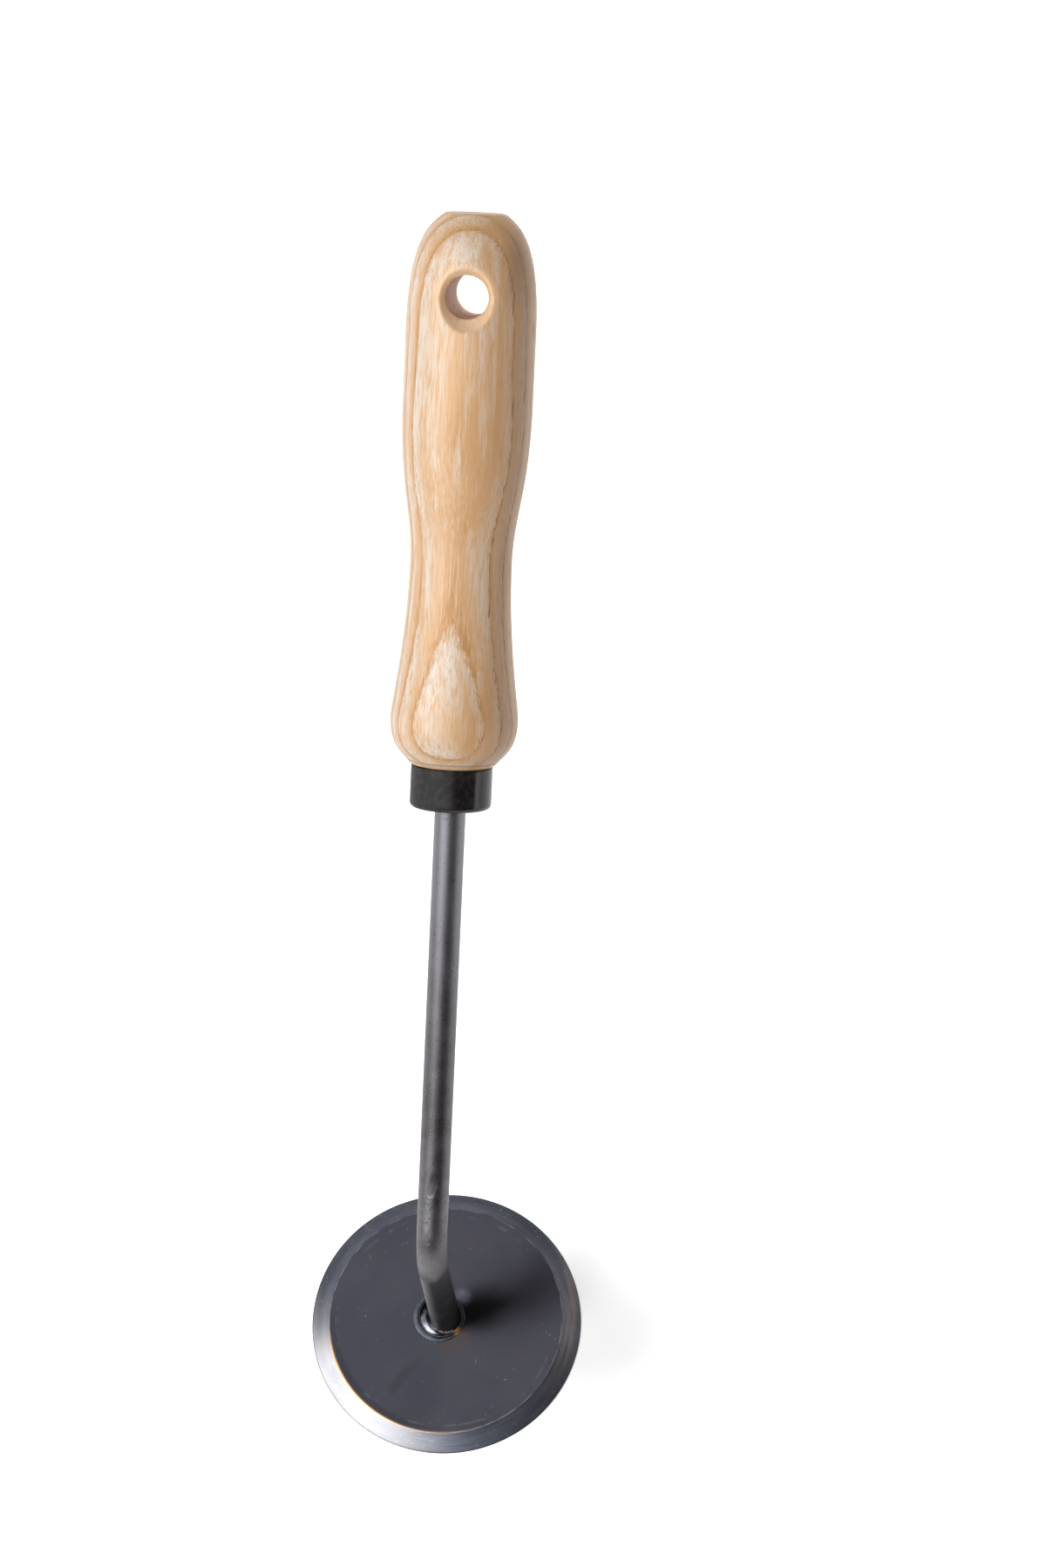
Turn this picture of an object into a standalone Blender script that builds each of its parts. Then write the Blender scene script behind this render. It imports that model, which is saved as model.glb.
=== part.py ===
"""Disc weeder: a round steel blade welded to a bent rod, with a turned ash handle.

Metres, +Z up. The origin is the centre of the blade's underside. The blade lies flat on Z = 0,
and the rod and the handle rise towards +Y in the plane X = 0, which is the tool's symmetry plane.
"""

import math

import bmesh
import bpy
from mathutils import Vector
from mathutils.geometry import interpolate_bezier

# Clearance left between two pieces that touch on the real tool
SEAT_GAP = 0.0003

# Blade: a flat disc with a wide bevel ground on its upper side
BLADE_DIAMETER = 0.073
BLADE_THICKNESS = 0.003
BEVEL_WIDTH = 0.0049
EDGE_LAND = 0.0003

# Rod: one bar, bent once, from the blade to its point inside the handle
ROD_DIAMETER = 0.008
BEND_HEIGHT = 0.056
BEND_RADIUS = 0.015
HANDLE_RISE = math.radians(33.0)
ROD_TO_FERRULE = 0.119
TANG_LENGTH = 0.070
TANG_POINT_LENGTH = 0.009
TANG_TIP_DIAMETER = 0.003

# Weld bead: a round puddle, off centre towards -X, that climbs the rod
WELD_DIAMETER = 0.0140
WELD_OFFSET_X = -0.0019
WELD_OFFSET_Y = 0.0005
WELD_HEIGHT = 0.0032
WELD_TOE_HEIGHT = 0.0005
WELD_ROD_WALL = 0.0006

# Ferrule: a drawn cup, closed towards the blade except for the rod's hole
FERRULE_DIAMETER = 0.021
FERRULE_LENGTH = 0.011
FERRULE_WALL = 0.0011
FERRULE_CORNER = 0.0014

# Handle, measured along its own axis from the ferrule's mouth
HANDLE_LENGTH = 0.1405
MOUTH_DIAMETER = 0.0213
SWELL_DIAMETER = 0.0327
SWELL_FROM_MOUTH = 0.0121
WAIST_DIAMETER = 0.026
WAIST_FROM_MOUTH = 0.0526
GRIP_DIAMETER = 0.033
GRIP_LENGTH = 0.0185
GRIP_FROM_BUTT = 0.0295
BUTT_DIAMETER = 0.0153

# Share of the stretch between two of the handle's diameters over which its outline leaves each
LEAVE_MOUTH_ALONG = 0.30
LEAVE_MOUTH_OUT = 0.47
REACH_SWELL = 0.64
LEAVE_SWELL = 0.10
REACH_WAIST = 0.53
LEAVE_WAIST = 0.31
REACH_GRIP = 0.54
LEAVE_GRIP = 0.82
REACH_BUTT_ALONG = 0.09
REACH_BUTT_OUT = 0.35

# Hanging hole: bored square to the handle, countersunk at both mouths
HOLE_DIAMETER = 0.011
HOLE_FROM_BUTT = 0.0205
COUNTERSINK = 0.0027

# Number of flats round each turned piece, and of steps along its curves
HANDLE_SIDES = 48
CURVE_STEPS = 11
HOLE_SIDES = 32
BLADE_SIDES = 96
FERRULE_SIDES = 56
FERRULE_CORNER_STEPS = 4
WELD_SIDES = 48
WELD_STEPS = 7
BEND_STEPS = 12
ROD_BEVEL_RESOLUTION = 10
SHARP_EDGE = math.radians(32.0)

# Corners of a turned mesh nearer to each other than this are one corner
SAME_POINT = 1e-6


def clear_scene():
    """Remove every object that the scene holds."""
    for thing in list(bpy.data.objects):
        bpy.data.objects.remove(thing, do_unlink=True)


def finish_material(name, colour, roughness, metallic):
    """Make a Principled material."""
    material = bpy.data.materials.new(name)
    material.use_nodes = True
    shader = material.node_tree.nodes["Principled BSDF"]
    shader.inputs["Base Color"].default_value = (*colour, 1.0)
    shader.inputs["Roughness"].default_value = roughness
    shader.inputs["Metallic"].default_value = metallic
    return material


def add_object(name, data, material=None, parent=None):
    """Put mesh or curve data into the scene under a name, a material and a parent."""
    thing = bpy.data.objects.new(name, data)
    bpy.context.scene.collection.objects.link(thing)
    if material is not None:
        data.materials.append(material)
    if parent is not None:
        thing.parent = parent
    return thing


def turned_mesh(name, outline, sides):
    """Turn an outline of (radius, height) points about Z into a closed mesh.

    An outline that doesn't start and end on the axis is closed from its last point to its first.
    """
    shape = bmesh.new()
    corners = [shape.verts.new((radius, 0.0, height)) for radius, height in outline]
    edges = [shape.edges.new(pair) for pair in zip(corners, corners[1:])]
    if outline[0][0] > 0.0 and outline[-1][0] > 0.0:
        edges.append(shape.edges.new((corners[-1], corners[0])))
    bmesh.ops.spin(
        shape,
        geom=corners + edges,
        cent=(0.0, 0.0, 0.0),
        axis=(0.0, 0.0, 1.0),
        angle=math.tau,
        steps=sides,
        use_merge=True,
    )
    bmesh.ops.remove_doubles(shape, verts=shape.verts, dist=SAME_POINT)
    bmesh.ops.recalc_face_normals(shape, faces=shape.faces)
    return bmesh_to_mesh(name, shape)


def bmesh_to_mesh(name, shape):
    """Write a bmesh to a new mesh that is shaded smooth up to its sharp edges."""
    mesh = bpy.data.meshes.new(name)
    shape.to_mesh(mesh)
    shape.free()
    mesh.shade_smooth()
    mesh.set_sharp_from_angle(angle=SHARP_EDGE)
    return mesh


def arc(centre, radius, start, end, steps):
    """Points of a circular arc in the plane of an outline, from one angle to another."""
    angles = [start + (end - start) * step / steps for step in range(steps + 1)]
    return [(centre[0] + radius * math.cos(a), centre[1] + radius * math.sin(a)) for a in angles]


def make_handle_line():
    """Make the guide that the ferrule and the handle hang on.

    It stands at the bend's corner, with its Z along the rod's long leg.
    """
    guide = add_object("handle_line", None)
    guide.location = (0.0, 0.0, BEND_HEIGHT)
    guide.rotation_euler = (HANDLE_RISE - math.pi / 2.0, 0.0, 0.0)
    return guide


def make_blade():
    """Turn the blade, whose underside is flat out to its edge."""
    edge = BLADE_DIAMETER / 2.0
    outline = [
        (0.0, 0.0),
        (edge, 0.0),
        (edge, EDGE_LAND),
        (edge - BEVEL_WIDTH, BLADE_THICKNESS),
        (0.0, BLADE_THICKNESS),
    ]
    steel = finish_material("blade_steel", (0.16, 0.17, 0.19), 0.42, 0.9)
    return add_object("disc_blade", turned_mesh("disc_blade", outline, BLADE_SIDES), steel)


def rod_path():
    """Centre line of the rod as (y, z) points with a share of the rod's radius at each."""
    foot = BLADE_THICKNESS + SEAT_GAP
    along = (math.cos(HANDLE_RISE), math.sin(HANDLE_RISE))
    turn = math.pi / 2.0 - HANDLE_RISE
    bend_start = BEND_RADIUS * math.tan(turn / 2.0)
    centre = (BEND_RADIUS, BEND_HEIGHT - bend_start)
    points = [(0.0, foot, 1.0)]
    for y, z in arc(centre, BEND_RADIUS, math.pi, math.pi - turn, BEND_STEPS):
        points.append((y, z, 1.0))
    tip = ROD_TO_FERRULE + TANG_LENGTH
    for reach, share in ((tip - TANG_POINT_LENGTH, 1.0), (tip, TANG_TIP_DIAMETER / ROD_DIAMETER)):
        points.append((along[0] * reach, BEND_HEIGHT + along[1] * reach, share))
    return points


def make_shank():
    """Bend the rod from the blade up into the handle, and point the end that is its tang."""
    curve = bpy.data.curves.new("shank", "CURVE")
    curve.dimensions = "3D"
    curve.bevel_depth = ROD_DIAMETER / 2.0
    curve.bevel_resolution = ROD_BEVEL_RESOLUTION
    curve.use_fill_caps = True
    points = rod_path()
    line = curve.splines.new("POLY")
    line.points.add(len(points) - 1)
    for point, (y, z, share) in zip(line.points, points):
        point.co = (0.0, y, z, 1.0)
        point.radius = share
    line.use_smooth = True
    steel = finish_material("shank_steel", (0.20, 0.20, 0.20), 0.45, 0.85)
    return add_object("shank", curve, steel)


def weld_reach(angle):
    """Distance from the rod's axis to the weld's toe, in one direction round the rod.

    It never falls below the least wall of weld metal beside the rod.
    """
    along = WELD_OFFSET_X * math.cos(angle) + WELD_OFFSET_Y * math.sin(angle)
    across = WELD_OFFSET_Y * math.cos(angle) - WELD_OFFSET_X * math.sin(angle)
    toe = along + math.sqrt(max((WELD_DIAMETER / 2.0) ** 2 - across**2, 0.0))
    return max(toe, ROD_DIAMETER / 2.0 + SEAT_GAP + WELD_ROD_WALL)


def make_weld():
    """Loft the weld bead round the foot of the rod.

    Each rib of the loft runs from the rod's side over the crown to the toe and back underneath.
    """
    inside = ROD_DIAMETER / 2.0 + SEAT_GAP
    floor = BLADE_THICKNESS + SEAT_GAP
    widest = WELD_DIAMETER / 2.0 + math.hypot(WELD_OFFSET_X, WELD_OFFSET_Y) - inside
    shape = bmesh.new()
    ribs = []
    for side in range(WELD_SIDES):
        angle = math.tau * side / WELD_SIDES
        width = weld_reach(angle) - inside
        crown = WELD_TOE_HEIGHT + (WELD_HEIGHT - WELD_TOE_HEIGHT) * math.sqrt(width / widest)
        rib = [(inside, floor)]
        for step in range(WELD_STEPS + 1):
            turn = math.pi / 2.0 * step / WELD_STEPS
            rise = WELD_TOE_HEIGHT + (crown - WELD_TOE_HEIGHT) * math.cos(turn)
            rib.append((inside + width * math.sin(turn), floor + rise))
        rib.append((inside + width, floor))
        spot = [(r * math.cos(angle), r * math.sin(angle), z) for r, z in rib]
        ribs.append([shape.verts.new(point) for point in spot])
    for rib, following in zip(ribs, ribs[1:] + ribs[:1]):
        for step in range(len(rib)):
            after = (step + 1) % len(rib)
            shape.faces.new((rib[step], following[step], following[after], rib[after]))
    bmesh.ops.recalc_face_normals(shape, faces=shape.faces)
    steel = finish_material("weld_metal", (0.30, 0.31, 0.33), 0.30, 0.95)
    return add_object("weld_bead", bmesh_to_mesh("weld_bead", shape), steel)


def make_ferrule(handle_line):
    """Draw the cup that is pressed over the handle's spigot, its closed end towards the blade."""
    outside = FERRULE_DIAMETER / 2.0
    inside = outside - FERRULE_WALL
    corner = min(FERRULE_CORNER, FERRULE_LENGTH / 2.0)
    inner_corner = max(corner - FERRULE_WALL, SEAT_GAP)
    rod_hole = ROD_DIAMETER / 2.0 + SEAT_GAP
    quarter = math.pi / 2.0
    outline = [(outside, FERRULE_LENGTH)]
    outline += arc((outside - corner, corner), corner, 0.0, -quarter, FERRULE_CORNER_STEPS)
    outline += [(rod_hole, 0.0), (rod_hole, FERRULE_WALL)]
    bend = (inside - inner_corner, FERRULE_WALL + inner_corner)
    outline += arc(bend, inner_corner, -quarter, 0.0, FERRULE_CORNER_STEPS)
    outline.append((inside, FERRULE_LENGTH))
    lacquer = finish_material("black_lacquer", (0.02, 0.02, 0.022), 0.35, 0.2)
    mesh = turned_mesh("ferrule", outline, FERRULE_SIDES)
    ferrule = add_object("ferrule", mesh, lacquer, handle_line)
    ferrule.location.z = ROD_TO_FERRULE
    return ferrule


def curve_between(start, leave, reach, end):
    """Points of one smooth stretch of the handle's outline, without its first point."""
    ends = [Vector((radius, height, 0.0)) for radius, height in (start, leave, reach, end)]
    points = interpolate_bezier(*ends, CURVE_STEPS + 1)
    return [(point.x, point.y) for point in points[1:]]


def handle_outline():
    """Outline of the visible handle from the ferrule's mouth to the butt, as (radius, height)."""
    mouth = (MOUTH_DIAMETER / 2.0, 0.0)
    swell = (SWELL_DIAMETER / 2.0, SWELL_FROM_MOUTH)
    waist = (WAIST_DIAMETER / 2.0, WAIST_FROM_MOUTH)
    grip_top = (GRIP_DIAMETER / 2.0, HANDLE_LENGTH - GRIP_FROM_BUTT)
    grip = (GRIP_DIAMETER / 2.0, grip_top[1] - GRIP_LENGTH)
    butt = (BUTT_DIAMETER / 2.0, HANDLE_LENGTH)

    def level(knot, other, share):
        return (knot[0], knot[1] + (other[1] - knot[1]) * share)

    outline = [mouth]
    out_of_mouth = (
        mouth[0] + (swell[0] - mouth[0]) * LEAVE_MOUTH_OUT,
        (swell[1] - mouth[1]) * LEAVE_MOUTH_ALONG,
    )
    outline += curve_between(mouth, out_of_mouth, level(swell, mouth, REACH_SWELL), swell)
    outline += curve_between(
        swell, level(swell, waist, LEAVE_SWELL), level(waist, swell, REACH_WAIST), waist
    )
    outline += curve_between(
        waist, level(waist, grip, LEAVE_WAIST), level(grip, waist, REACH_GRIP), grip
    )
    outline.append(grip_top)
    into_butt = (
        butt[0] + (grip_top[0] - butt[0]) * REACH_BUTT_OUT,
        butt[1] - (butt[1] - grip_top[1]) * REACH_BUTT_ALONG,
    )
    outline += curve_between(grip_top, level(grip_top, butt, LEAVE_GRIP), into_butt, butt)
    return outline


def handle_radius(height):
    """Radius of the handle at a distance from the ferrule's mouth, read from its outline."""
    outline = handle_outline()
    for (below, low), (above, high) in zip(outline, outline[1:]):
        if low <= height <= high:
            return below + (above - below) * (height - low) / (high - low)
    return BUTT_DIAMETER / 2.0


def make_cutter(name, outline, parent):
    """Turn a shape that is cut out of the handle and isn't part of the tool."""
    cutter = add_object(name, turned_mesh(name, outline, HOLE_SIDES), None, parent)
    cutter.hide_render = True
    cutter.display_type = "WIRE"
    return cutter


def tang_bore(handle_line):
    """Cutter for the bore that the tang is driven into, a gap wider than the tang all over."""
    mouth = ROD_TO_FERRULE + FERRULE_WALL
    tip = ROD_TO_FERRULE + TANG_LENGTH
    wide = ROD_DIAMETER / 2.0 + SEAT_GAP
    outline = [
        (0.0, mouth - ROD_DIAMETER),
        (wide, mouth - ROD_DIAMETER),
        (wide, tip - TANG_POINT_LENGTH),
        (TANG_TIP_DIAMETER / 2.0 + SEAT_GAP, tip + SEAT_GAP),
        (0.0, tip + SEAT_GAP),
    ]
    return make_cutter("tang_bore_cutter", outline, handle_line)


def hanging_hole(handle_line):
    """Cutter for the hanging hole, square to the handle, flaring at both of its mouths."""
    bore = HOLE_DIAMETER / 2.0
    place = HANDLE_LENGTH - HOLE_FROM_BUTT
    flare_start = handle_radius(place) - COUNTERSINK
    past_face = flare_start + 2.0 * COUNTERSINK
    flare = bore + past_face - flare_start
    outline = [
        (0.0, -past_face),
        (flare, -past_face),
        (bore, -flare_start),
        (bore, flare_start),
        (flare, past_face),
        (0.0, past_face),
    ]
    cutter = make_cutter("hanging_hole_cutter", outline, handle_line)
    cutter.location.z = ROD_TO_FERRULE + FERRULE_LENGTH + place
    cutter.rotation_euler.x = math.pi / 2.0
    return cutter


def make_handle(handle_line):
    """Turn the handle with its spigot, then bore it for the tang and for hanging."""
    spigot = FERRULE_DIAMETER / 2.0 - FERRULE_WALL - SEAT_GAP
    spigot_foot = FERRULE_WALL + SEAT_GAP
    shoulder = FERRULE_LENGTH + SEAT_GAP
    chamfer = max(min(FERRULE_CORNER, FERRULE_LENGTH / 2.0) - FERRULE_WALL, SEAT_GAP)
    outline = [
        (0.0, spigot_foot),
        (spigot - chamfer, spigot_foot),
        (spigot, spigot_foot + chamfer),
        (spigot, shoulder),
    ]
    visible = handle_outline()
    outline.append((visible[0][0], shoulder))
    outline += [(radius, FERRULE_LENGTH + height) for radius, height in visible[1:]]
    outline.append((0.0, FERRULE_LENGTH + HANDLE_LENGTH))
    ash = finish_material("ash_wood", (0.72, 0.55, 0.36), 0.55, 0.0)
    handle = add_object("handle", turned_mesh("handle", outline, HANDLE_SIDES), ash, handle_line)
    handle.location.z = ROD_TO_FERRULE
    for cutter in (tang_bore(handle_line), hanging_hole(handle_line)):
        cut = handle.modifiers.new(cutter.name, "BOOLEAN")
        cut.operation = "DIFFERENCE"
        cut.solver = "EXACT"
        cut.object = cutter
    return handle


def build():
    """Make the whole tool."""
    clear_scene()
    handle_line = make_handle_line()
    make_blade()
    make_weld()
    make_shank()
    make_ferrule(handle_line)
    make_handle(handle_line)
    bpy.context.view_layer.update()


build()
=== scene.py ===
"""Disc weeder, dressed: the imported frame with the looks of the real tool.

Metres, +Z up, in the frame's own axes. The blade lies flat on Z = 0 and the handle rises
towards +Y. Each piece of the tool has one operator, and the studio has one of its own.
"""

import math

import bmesh
import bpy
import numpy as np
from bpy.props import FloatProperty, FloatVectorProperty, IntProperty, PointerProperty
from mathutils import Euler, Matrix, Vector, noise
from mathutils.geometry import interpolate_bezier


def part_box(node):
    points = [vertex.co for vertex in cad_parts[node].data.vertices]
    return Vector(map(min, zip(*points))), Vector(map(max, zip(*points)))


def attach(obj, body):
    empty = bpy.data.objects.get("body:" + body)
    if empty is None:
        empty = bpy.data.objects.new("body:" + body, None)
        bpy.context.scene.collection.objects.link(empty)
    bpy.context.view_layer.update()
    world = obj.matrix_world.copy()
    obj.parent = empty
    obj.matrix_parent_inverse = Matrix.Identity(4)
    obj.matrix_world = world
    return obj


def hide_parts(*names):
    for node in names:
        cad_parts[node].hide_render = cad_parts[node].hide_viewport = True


bl_info = {
    "name": "Disc Weeder",
    "version": (1, 0, 0),
    "blender": (4, 5, 0),
    "location": "View3D > Sidebar > Disc Weeder",
    "description": "Makes a disc weeder: a ground steel blade, a bent rod and a turned ash handle",
    "category": "Add Mesh",
}

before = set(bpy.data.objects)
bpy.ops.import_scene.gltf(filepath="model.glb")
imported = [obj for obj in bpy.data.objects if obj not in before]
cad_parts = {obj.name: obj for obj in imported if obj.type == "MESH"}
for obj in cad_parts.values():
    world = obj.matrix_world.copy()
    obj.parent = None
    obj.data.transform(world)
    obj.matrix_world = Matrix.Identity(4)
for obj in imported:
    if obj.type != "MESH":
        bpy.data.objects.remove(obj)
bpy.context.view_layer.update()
BLADE_LOW, BLADE_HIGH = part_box("disc_blade")

# The guide that the ferrule and the handle hang on: the rod's long leg, from the bend's corner
BEND_HEIGHT = 0.056
HANDLE_RISE = math.radians(33.0)
HANDLE_LINE = Matrix.Translation((0.0, 0.0, BEND_HEIGHT)) @ Matrix.Rotation(
    HANDLE_RISE - math.pi / 2.0, 4, "X"
)
ROD_TO_FERRULE = 0.119
FERRULE_CUP = 0.011

# Clearances between pieces that touch on the real tool
SEAT = 0.00004
TANG_PLAY = 0.0003
MOUTH_SEAM = 0.00022

# Share of the stretch between two of the handle's diameters over which its outline leaves each
LEAVE_MOUTH_ALONG = 0.30
LEAVE_MOUTH_OUT = 0.47
REACH_SWELL = 0.64
LEAVE_SWELL = 0.10
REACH_WAIST = 0.53
LEAVE_WAIST = 0.31
REACH_GRIP = 0.54
LEAVE_GRIP = 0.82
REACH_BUTT_ALONG = 0.09
REACH_BUTT_OUT = 0.35

# The outline's points: how many each stretch has at first, how far apart they then stand near the
# hanging hole and elsewhere, and how far beyond the countersink counts as near
STRETCH_POINTS = 120
STEP_AT_HOLE = 0.0004
STEP_ELSEWHERE = 0.0009
NEAR_HOLE = 0.004

# The spigot's chamfer, and the roundings of the handle's lip and of its edge at the butt. Points
# nearer to a rounding than the gap are left out.
SPIGOT_CHAMFER = 0.0005
LIP_ROUND = 0.0003
BUTT_ROUND = 0.0008
ROUND_GAP = 0.0002

# The countersink: the height over which its brim is rounded, how far from the hole's middle its
# shaping ends, and how far its cone goes on inside the bore
BRIM_EASE = 0.0007
FLARE_REACH = 0.0125
FLARE_IN_BORE = 0.0012

# The drill that cuts the hanging hole
BORE_SIDES = 144
DRILL_LENGTH = 0.06

# How far the roundings of the blade's edges and of the ferrule's reach
CUTTING_EDGE_EASE = 0.00008
SHOULDER_EASE = 0.00016
CUP_MOUTH_INSIDE = 0.0002
CUP_MOUTH_OUTSIDE = 0.00035
CUP_HOLE_EASE = 0.0003

# The weld bead's ribs: their steps, how many stand round it, and the least width of one
WELD_DOME_STEPS = 16
WELD_RING_STEPS = 7
WELD_SIDES = 180
WELD_LEAST = 0.0009

# The shape of a rib: how full its dome is, the largest share of it that is flat rim, and how far
# that rim swells and sags
DOME_FULLNESS = 2.0 / 3.0
RIM_SHARE = 0.30
RIM_SWELLING = 0.00010
RIM_SAG = 0.00022

# Ripples of the weld bead: how many there are in a metre, their height, and how far from the rod
# and the plate they start
RIPPLES = 380.0
RIPPLE_HEIGHT = 0.00005
RIPPLE_START = 0.0001

# Depths of the bending jig's flat and of the stretch that it scuffed
JIG_FLAT = 0.00015
JIG_SCUFF = 0.00003
JIG_SCUFF_RELIEF = 0.00006

# Steps of the rod's centre line
STUB_STEPS = 70
BEND_STEPS = 30
LEG_STEPS = 420

# Corners of a turned mesh nearer to each other than this are one corner
SAME_POINT = 1e-6
SHARP_EDGE = math.radians(30.0)

BLACK = (0.0, 0.0, 0.0)
WHITE = (1.0, 1.0, 1.0)

# Marks on the plate beside the weld: a heat stain, two patches of painted shadow along the rod's
# cast shadow, and a painted highlight beside the rod. For each: its place, the distances from there at
# which it fades out and is full, its colour, its strength and whether it is patchy
STAIN_AND_PAINTED_LIGHT_MARKS = (
    # A brown heat stain in front of the bead
    ((0.0022, -0.0036), (0.0074, 0.0034), (0.112, 0.088, 0.075), 1.0, True),
    # Painted shadow: deepens the rod's cast shadow next to the rod
    ((0.0090, 0.0034), (0.0097, 0.0016), (0.018, 0.018, 0.022), 0.86, False),
    # Painted shadow: a broad, faint patch along the rod's cast shadow
    ((0.0150, 0.0066), (0.0190, 0.0040), (0.022, 0.022, 0.030), 0.32, False),
    # Painted highlight: a pale bluish spot beside the rod, at its back right
    ((0.0038, 0.0066), (0.0034, 0.0006), (0.20, 0.22, 0.29), 1.0, True),
)

# The bead's stain: its place, and the distances from there at which it fades out and is full
STAIN_AT = (0.0043, -0.0038, 0.0042)
STAIN_FADE = (0.0021, 0.0010)

CAMERA_SPOT = (0.126495, -0.377057, 1.221404)
CAMERA_TURN = tuple(math.radians(angle) for angle in (24.0715, 3.3130, 5.2479))
CAMERA_LENS = 108.06

# What the lamps point at, and each lamp: its name, place, size, colour, and the kind of light that
# it leaves out
LAMP_AIM = (0.0, 0.06, 0.06)
LAMPS = (
    ("key", (-0.525, -0.205, 1.0), (0.30, 0.28), (1.0, 0.99, 0.98), "glossy"),
    ("sheen", (-0.64, -0.32, 0.93), (1.2, 1.2), (1.0, 0.99, 0.99), "diffuse"),
    ("side", (1.15, -0.05, 0.14), (0.5, 0.24), (1.0, 0.95, 0.92), None),
    ("back", (0.22, 1.15, 0.22), (0.3, 0.3), (1.0, 0.95, 0.88), "glossy"),
    ("bounce", (1.14, -0.38, 0.16), (0.7, 0.3), (1.0, 0.84, 0.68), "glossy"),
    ("rim", (0.75, 0.54, 0.55), (0.9, 0.6), (1.0, 0.96, 0.94), "diffuse"),
)


def length(label, text, default):
    """A size in metres that a user may change."""
    return FloatProperty(
        name=label, description=text, default=default, min=0.0, precision=5, unit="LENGTH"
    )


def colour(label, text, default):
    """A colour that a user may change."""
    return FloatVectorProperty(
        name=label, description=text, default=default, min=0.0, max=1.0, size=3, subtype="COLOR"
    )


def flats(text, default, least=24):
    """A count of flats round a piece that a user may change."""
    return IntProperty(name="Sides", description=text, default=default, min=least)


def power(label, text, default):
    """A lamp's power that a user may change."""
    return FloatProperty(name=label, description=text, default=default, unit="POWER")


class BladeSettings(bpy.types.PropertyGroup):
    """Sizes and colours of the round blade."""

    diameter: length("Diameter", "Across the cutting edge", BLADE_HIGH[0] - BLADE_LOW[0])
    thickness: length("Thickness", "Of the plate at its middle", BLADE_HIGH[2] - BLADE_LOW[2])
    bevel_width: length("Bevel width", "From the edge in to the flat", 0.0049)
    edge_land: length("Edge land", "Height left at the cutting edge", 0.0003)
    sides: flats("Flats round the blade", 320)
    plate: colour("Plate", "Rolled face of the plate", (0.085, 0.086, 0.113))
    ground: colour("Ground bevel", "Freshly ground steel", (0.40, 0.435, 0.55))
    # Colour of the painted highlight at the bevel's front left
    painted_bevel_highlight: colour("Burnished bevel", "Brighter ground at its front left", (0.545, 0.55, 0.58))
    # Colour of the warm painted reflection at the bevel's right
    painted_warm_reflection: colour("Browned bevel", "Warmer ground at its right", (0.80, 0.71, 0.72))


class WeldSettings(bpy.types.PropertyGroup):
    """Sizes and colours of the weld bead."""

    diameter: length("Diameter", "Across the toe of the bead", 0.0140)
    height: length("Height", "Where the bead is widest", 0.0032)
    toe_height: length("Toe height", "At the bead's rim", 0.0005)
    toe_ring: length("Toe ring", "Width of the flat rim round the dome", 0.0013)
    offset: FloatVectorProperty(
        name="Offset",
        description="Middle of the bead from the rod's axis",
        default=(-0.0019, 0.0005),
        size=2,
        precision=5,
        unit="LENGTH",
    )
    metal: colour("Metal", "Clean weld metal", (0.36, 0.385, 0.44))
    rust: colour("Stain", "Spot at the bead's front", (0.80, 0.42, 0.13))


class ShankSettings(bpy.types.PropertyGroup):
    """Sizes and colours of the bent rod."""

    diameter: length("Diameter", "Of the round bar", 0.008)
    bend_radius: length("Bend radius", "Of the bar's centre line", 0.015)
    tang_length: length("Tang length", "Of the bar inside ferrule and handle", 0.070)
    point_length: length("Point length", "Of the taper at the tang's end", 0.009)
    tip_diameter: length("Tip diameter", "At the tang's end", 0.003)
    sides: flats("Flats round the bar", 72, 12)
    light: colour("Bare steel", "Bright part of the bar", (0.131, 0.126, 0.136))
    dark: colour("Mill scale", "Dull part of the bar", (0.081, 0.076, 0.080))


class FerruleSettings(bpy.types.PropertyGroup):
    """Sizes and colours of the ferrule."""

    diameter: length("Diameter", "Outside of the cup", 0.021)
    cup_length: length("Length", "Along the handle", FERRULE_CUP)
    wall: length("Wall", "Thickness of the sheet", 0.0011)
    corner: length("Corner", "Outside radius at the closed end", 0.0014)
    sides: flats("Flats round the cup", 192)
    lacquer: colour("Lacquer", "Black stoved lacquer", (0.012, 0.011, 0.012))


class HandleSettings(bpy.types.PropertyGroup):
    """Sizes and colours of the turned handle."""

    handle_length: length("Length", "From the ferrule's mouth to the butt", 0.1405)
    mouth: length("Mouth diameter", "Beside the ferrule", 0.0213)
    swell: length("Swell diameter", "Widest part near the ferrule", 0.0327)
    swell_at: length("Swell place", "From the ferrule's mouth", 0.0121)
    waist: length("Waist diameter", "Narrowest part", 0.026)
    waist_at: length("Waist place", "From the ferrule's mouth", 0.0526)
    grip: length("Grip diameter", "Widest part of the grip", 0.033)
    grip_length: length("Grip length", "Over which the grip stays widest", 0.0185)
    grip_from_butt: length("Grip place", "Its upper end from the butt", 0.0295)
    butt: length("Butt diameter", "Flat at the end", 0.0153)
    hole: length("Hole diameter", "Of the hanging hole", 0.011)
    hole_from_butt: length("Hole place", "Its middle from the butt", 0.0205)
    countersink: length("Countersink", "Depth of the flare at each mouth", 0.0027)
    sides: flats("Flats round the handle", 256)
    ring_spacing: length("Ring spacing", "Between the ash's growth rings", 0.0037)
    first_ring: length("First ring", "Its distance in front of the handle's axis", 0.0138)
    pale: colour("Early wood", "Pale part of a growth ring", (0.845, 0.74, 0.63))
    tan: colour("Late wood", "Brown part of a growth ring", (0.75, 0.455, 0.23))
    cut: colour("Cut wood", "Inside the hanging hole", (0.93, 0.62, 0.37))
    amber: colour("Ring line", "Thin dark line between growth rings", (0.56, 0.29, 0.11))
    pore: colour("Pores", "Open pores and burnt edges", (0.27, 0.15, 0.075))


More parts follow.
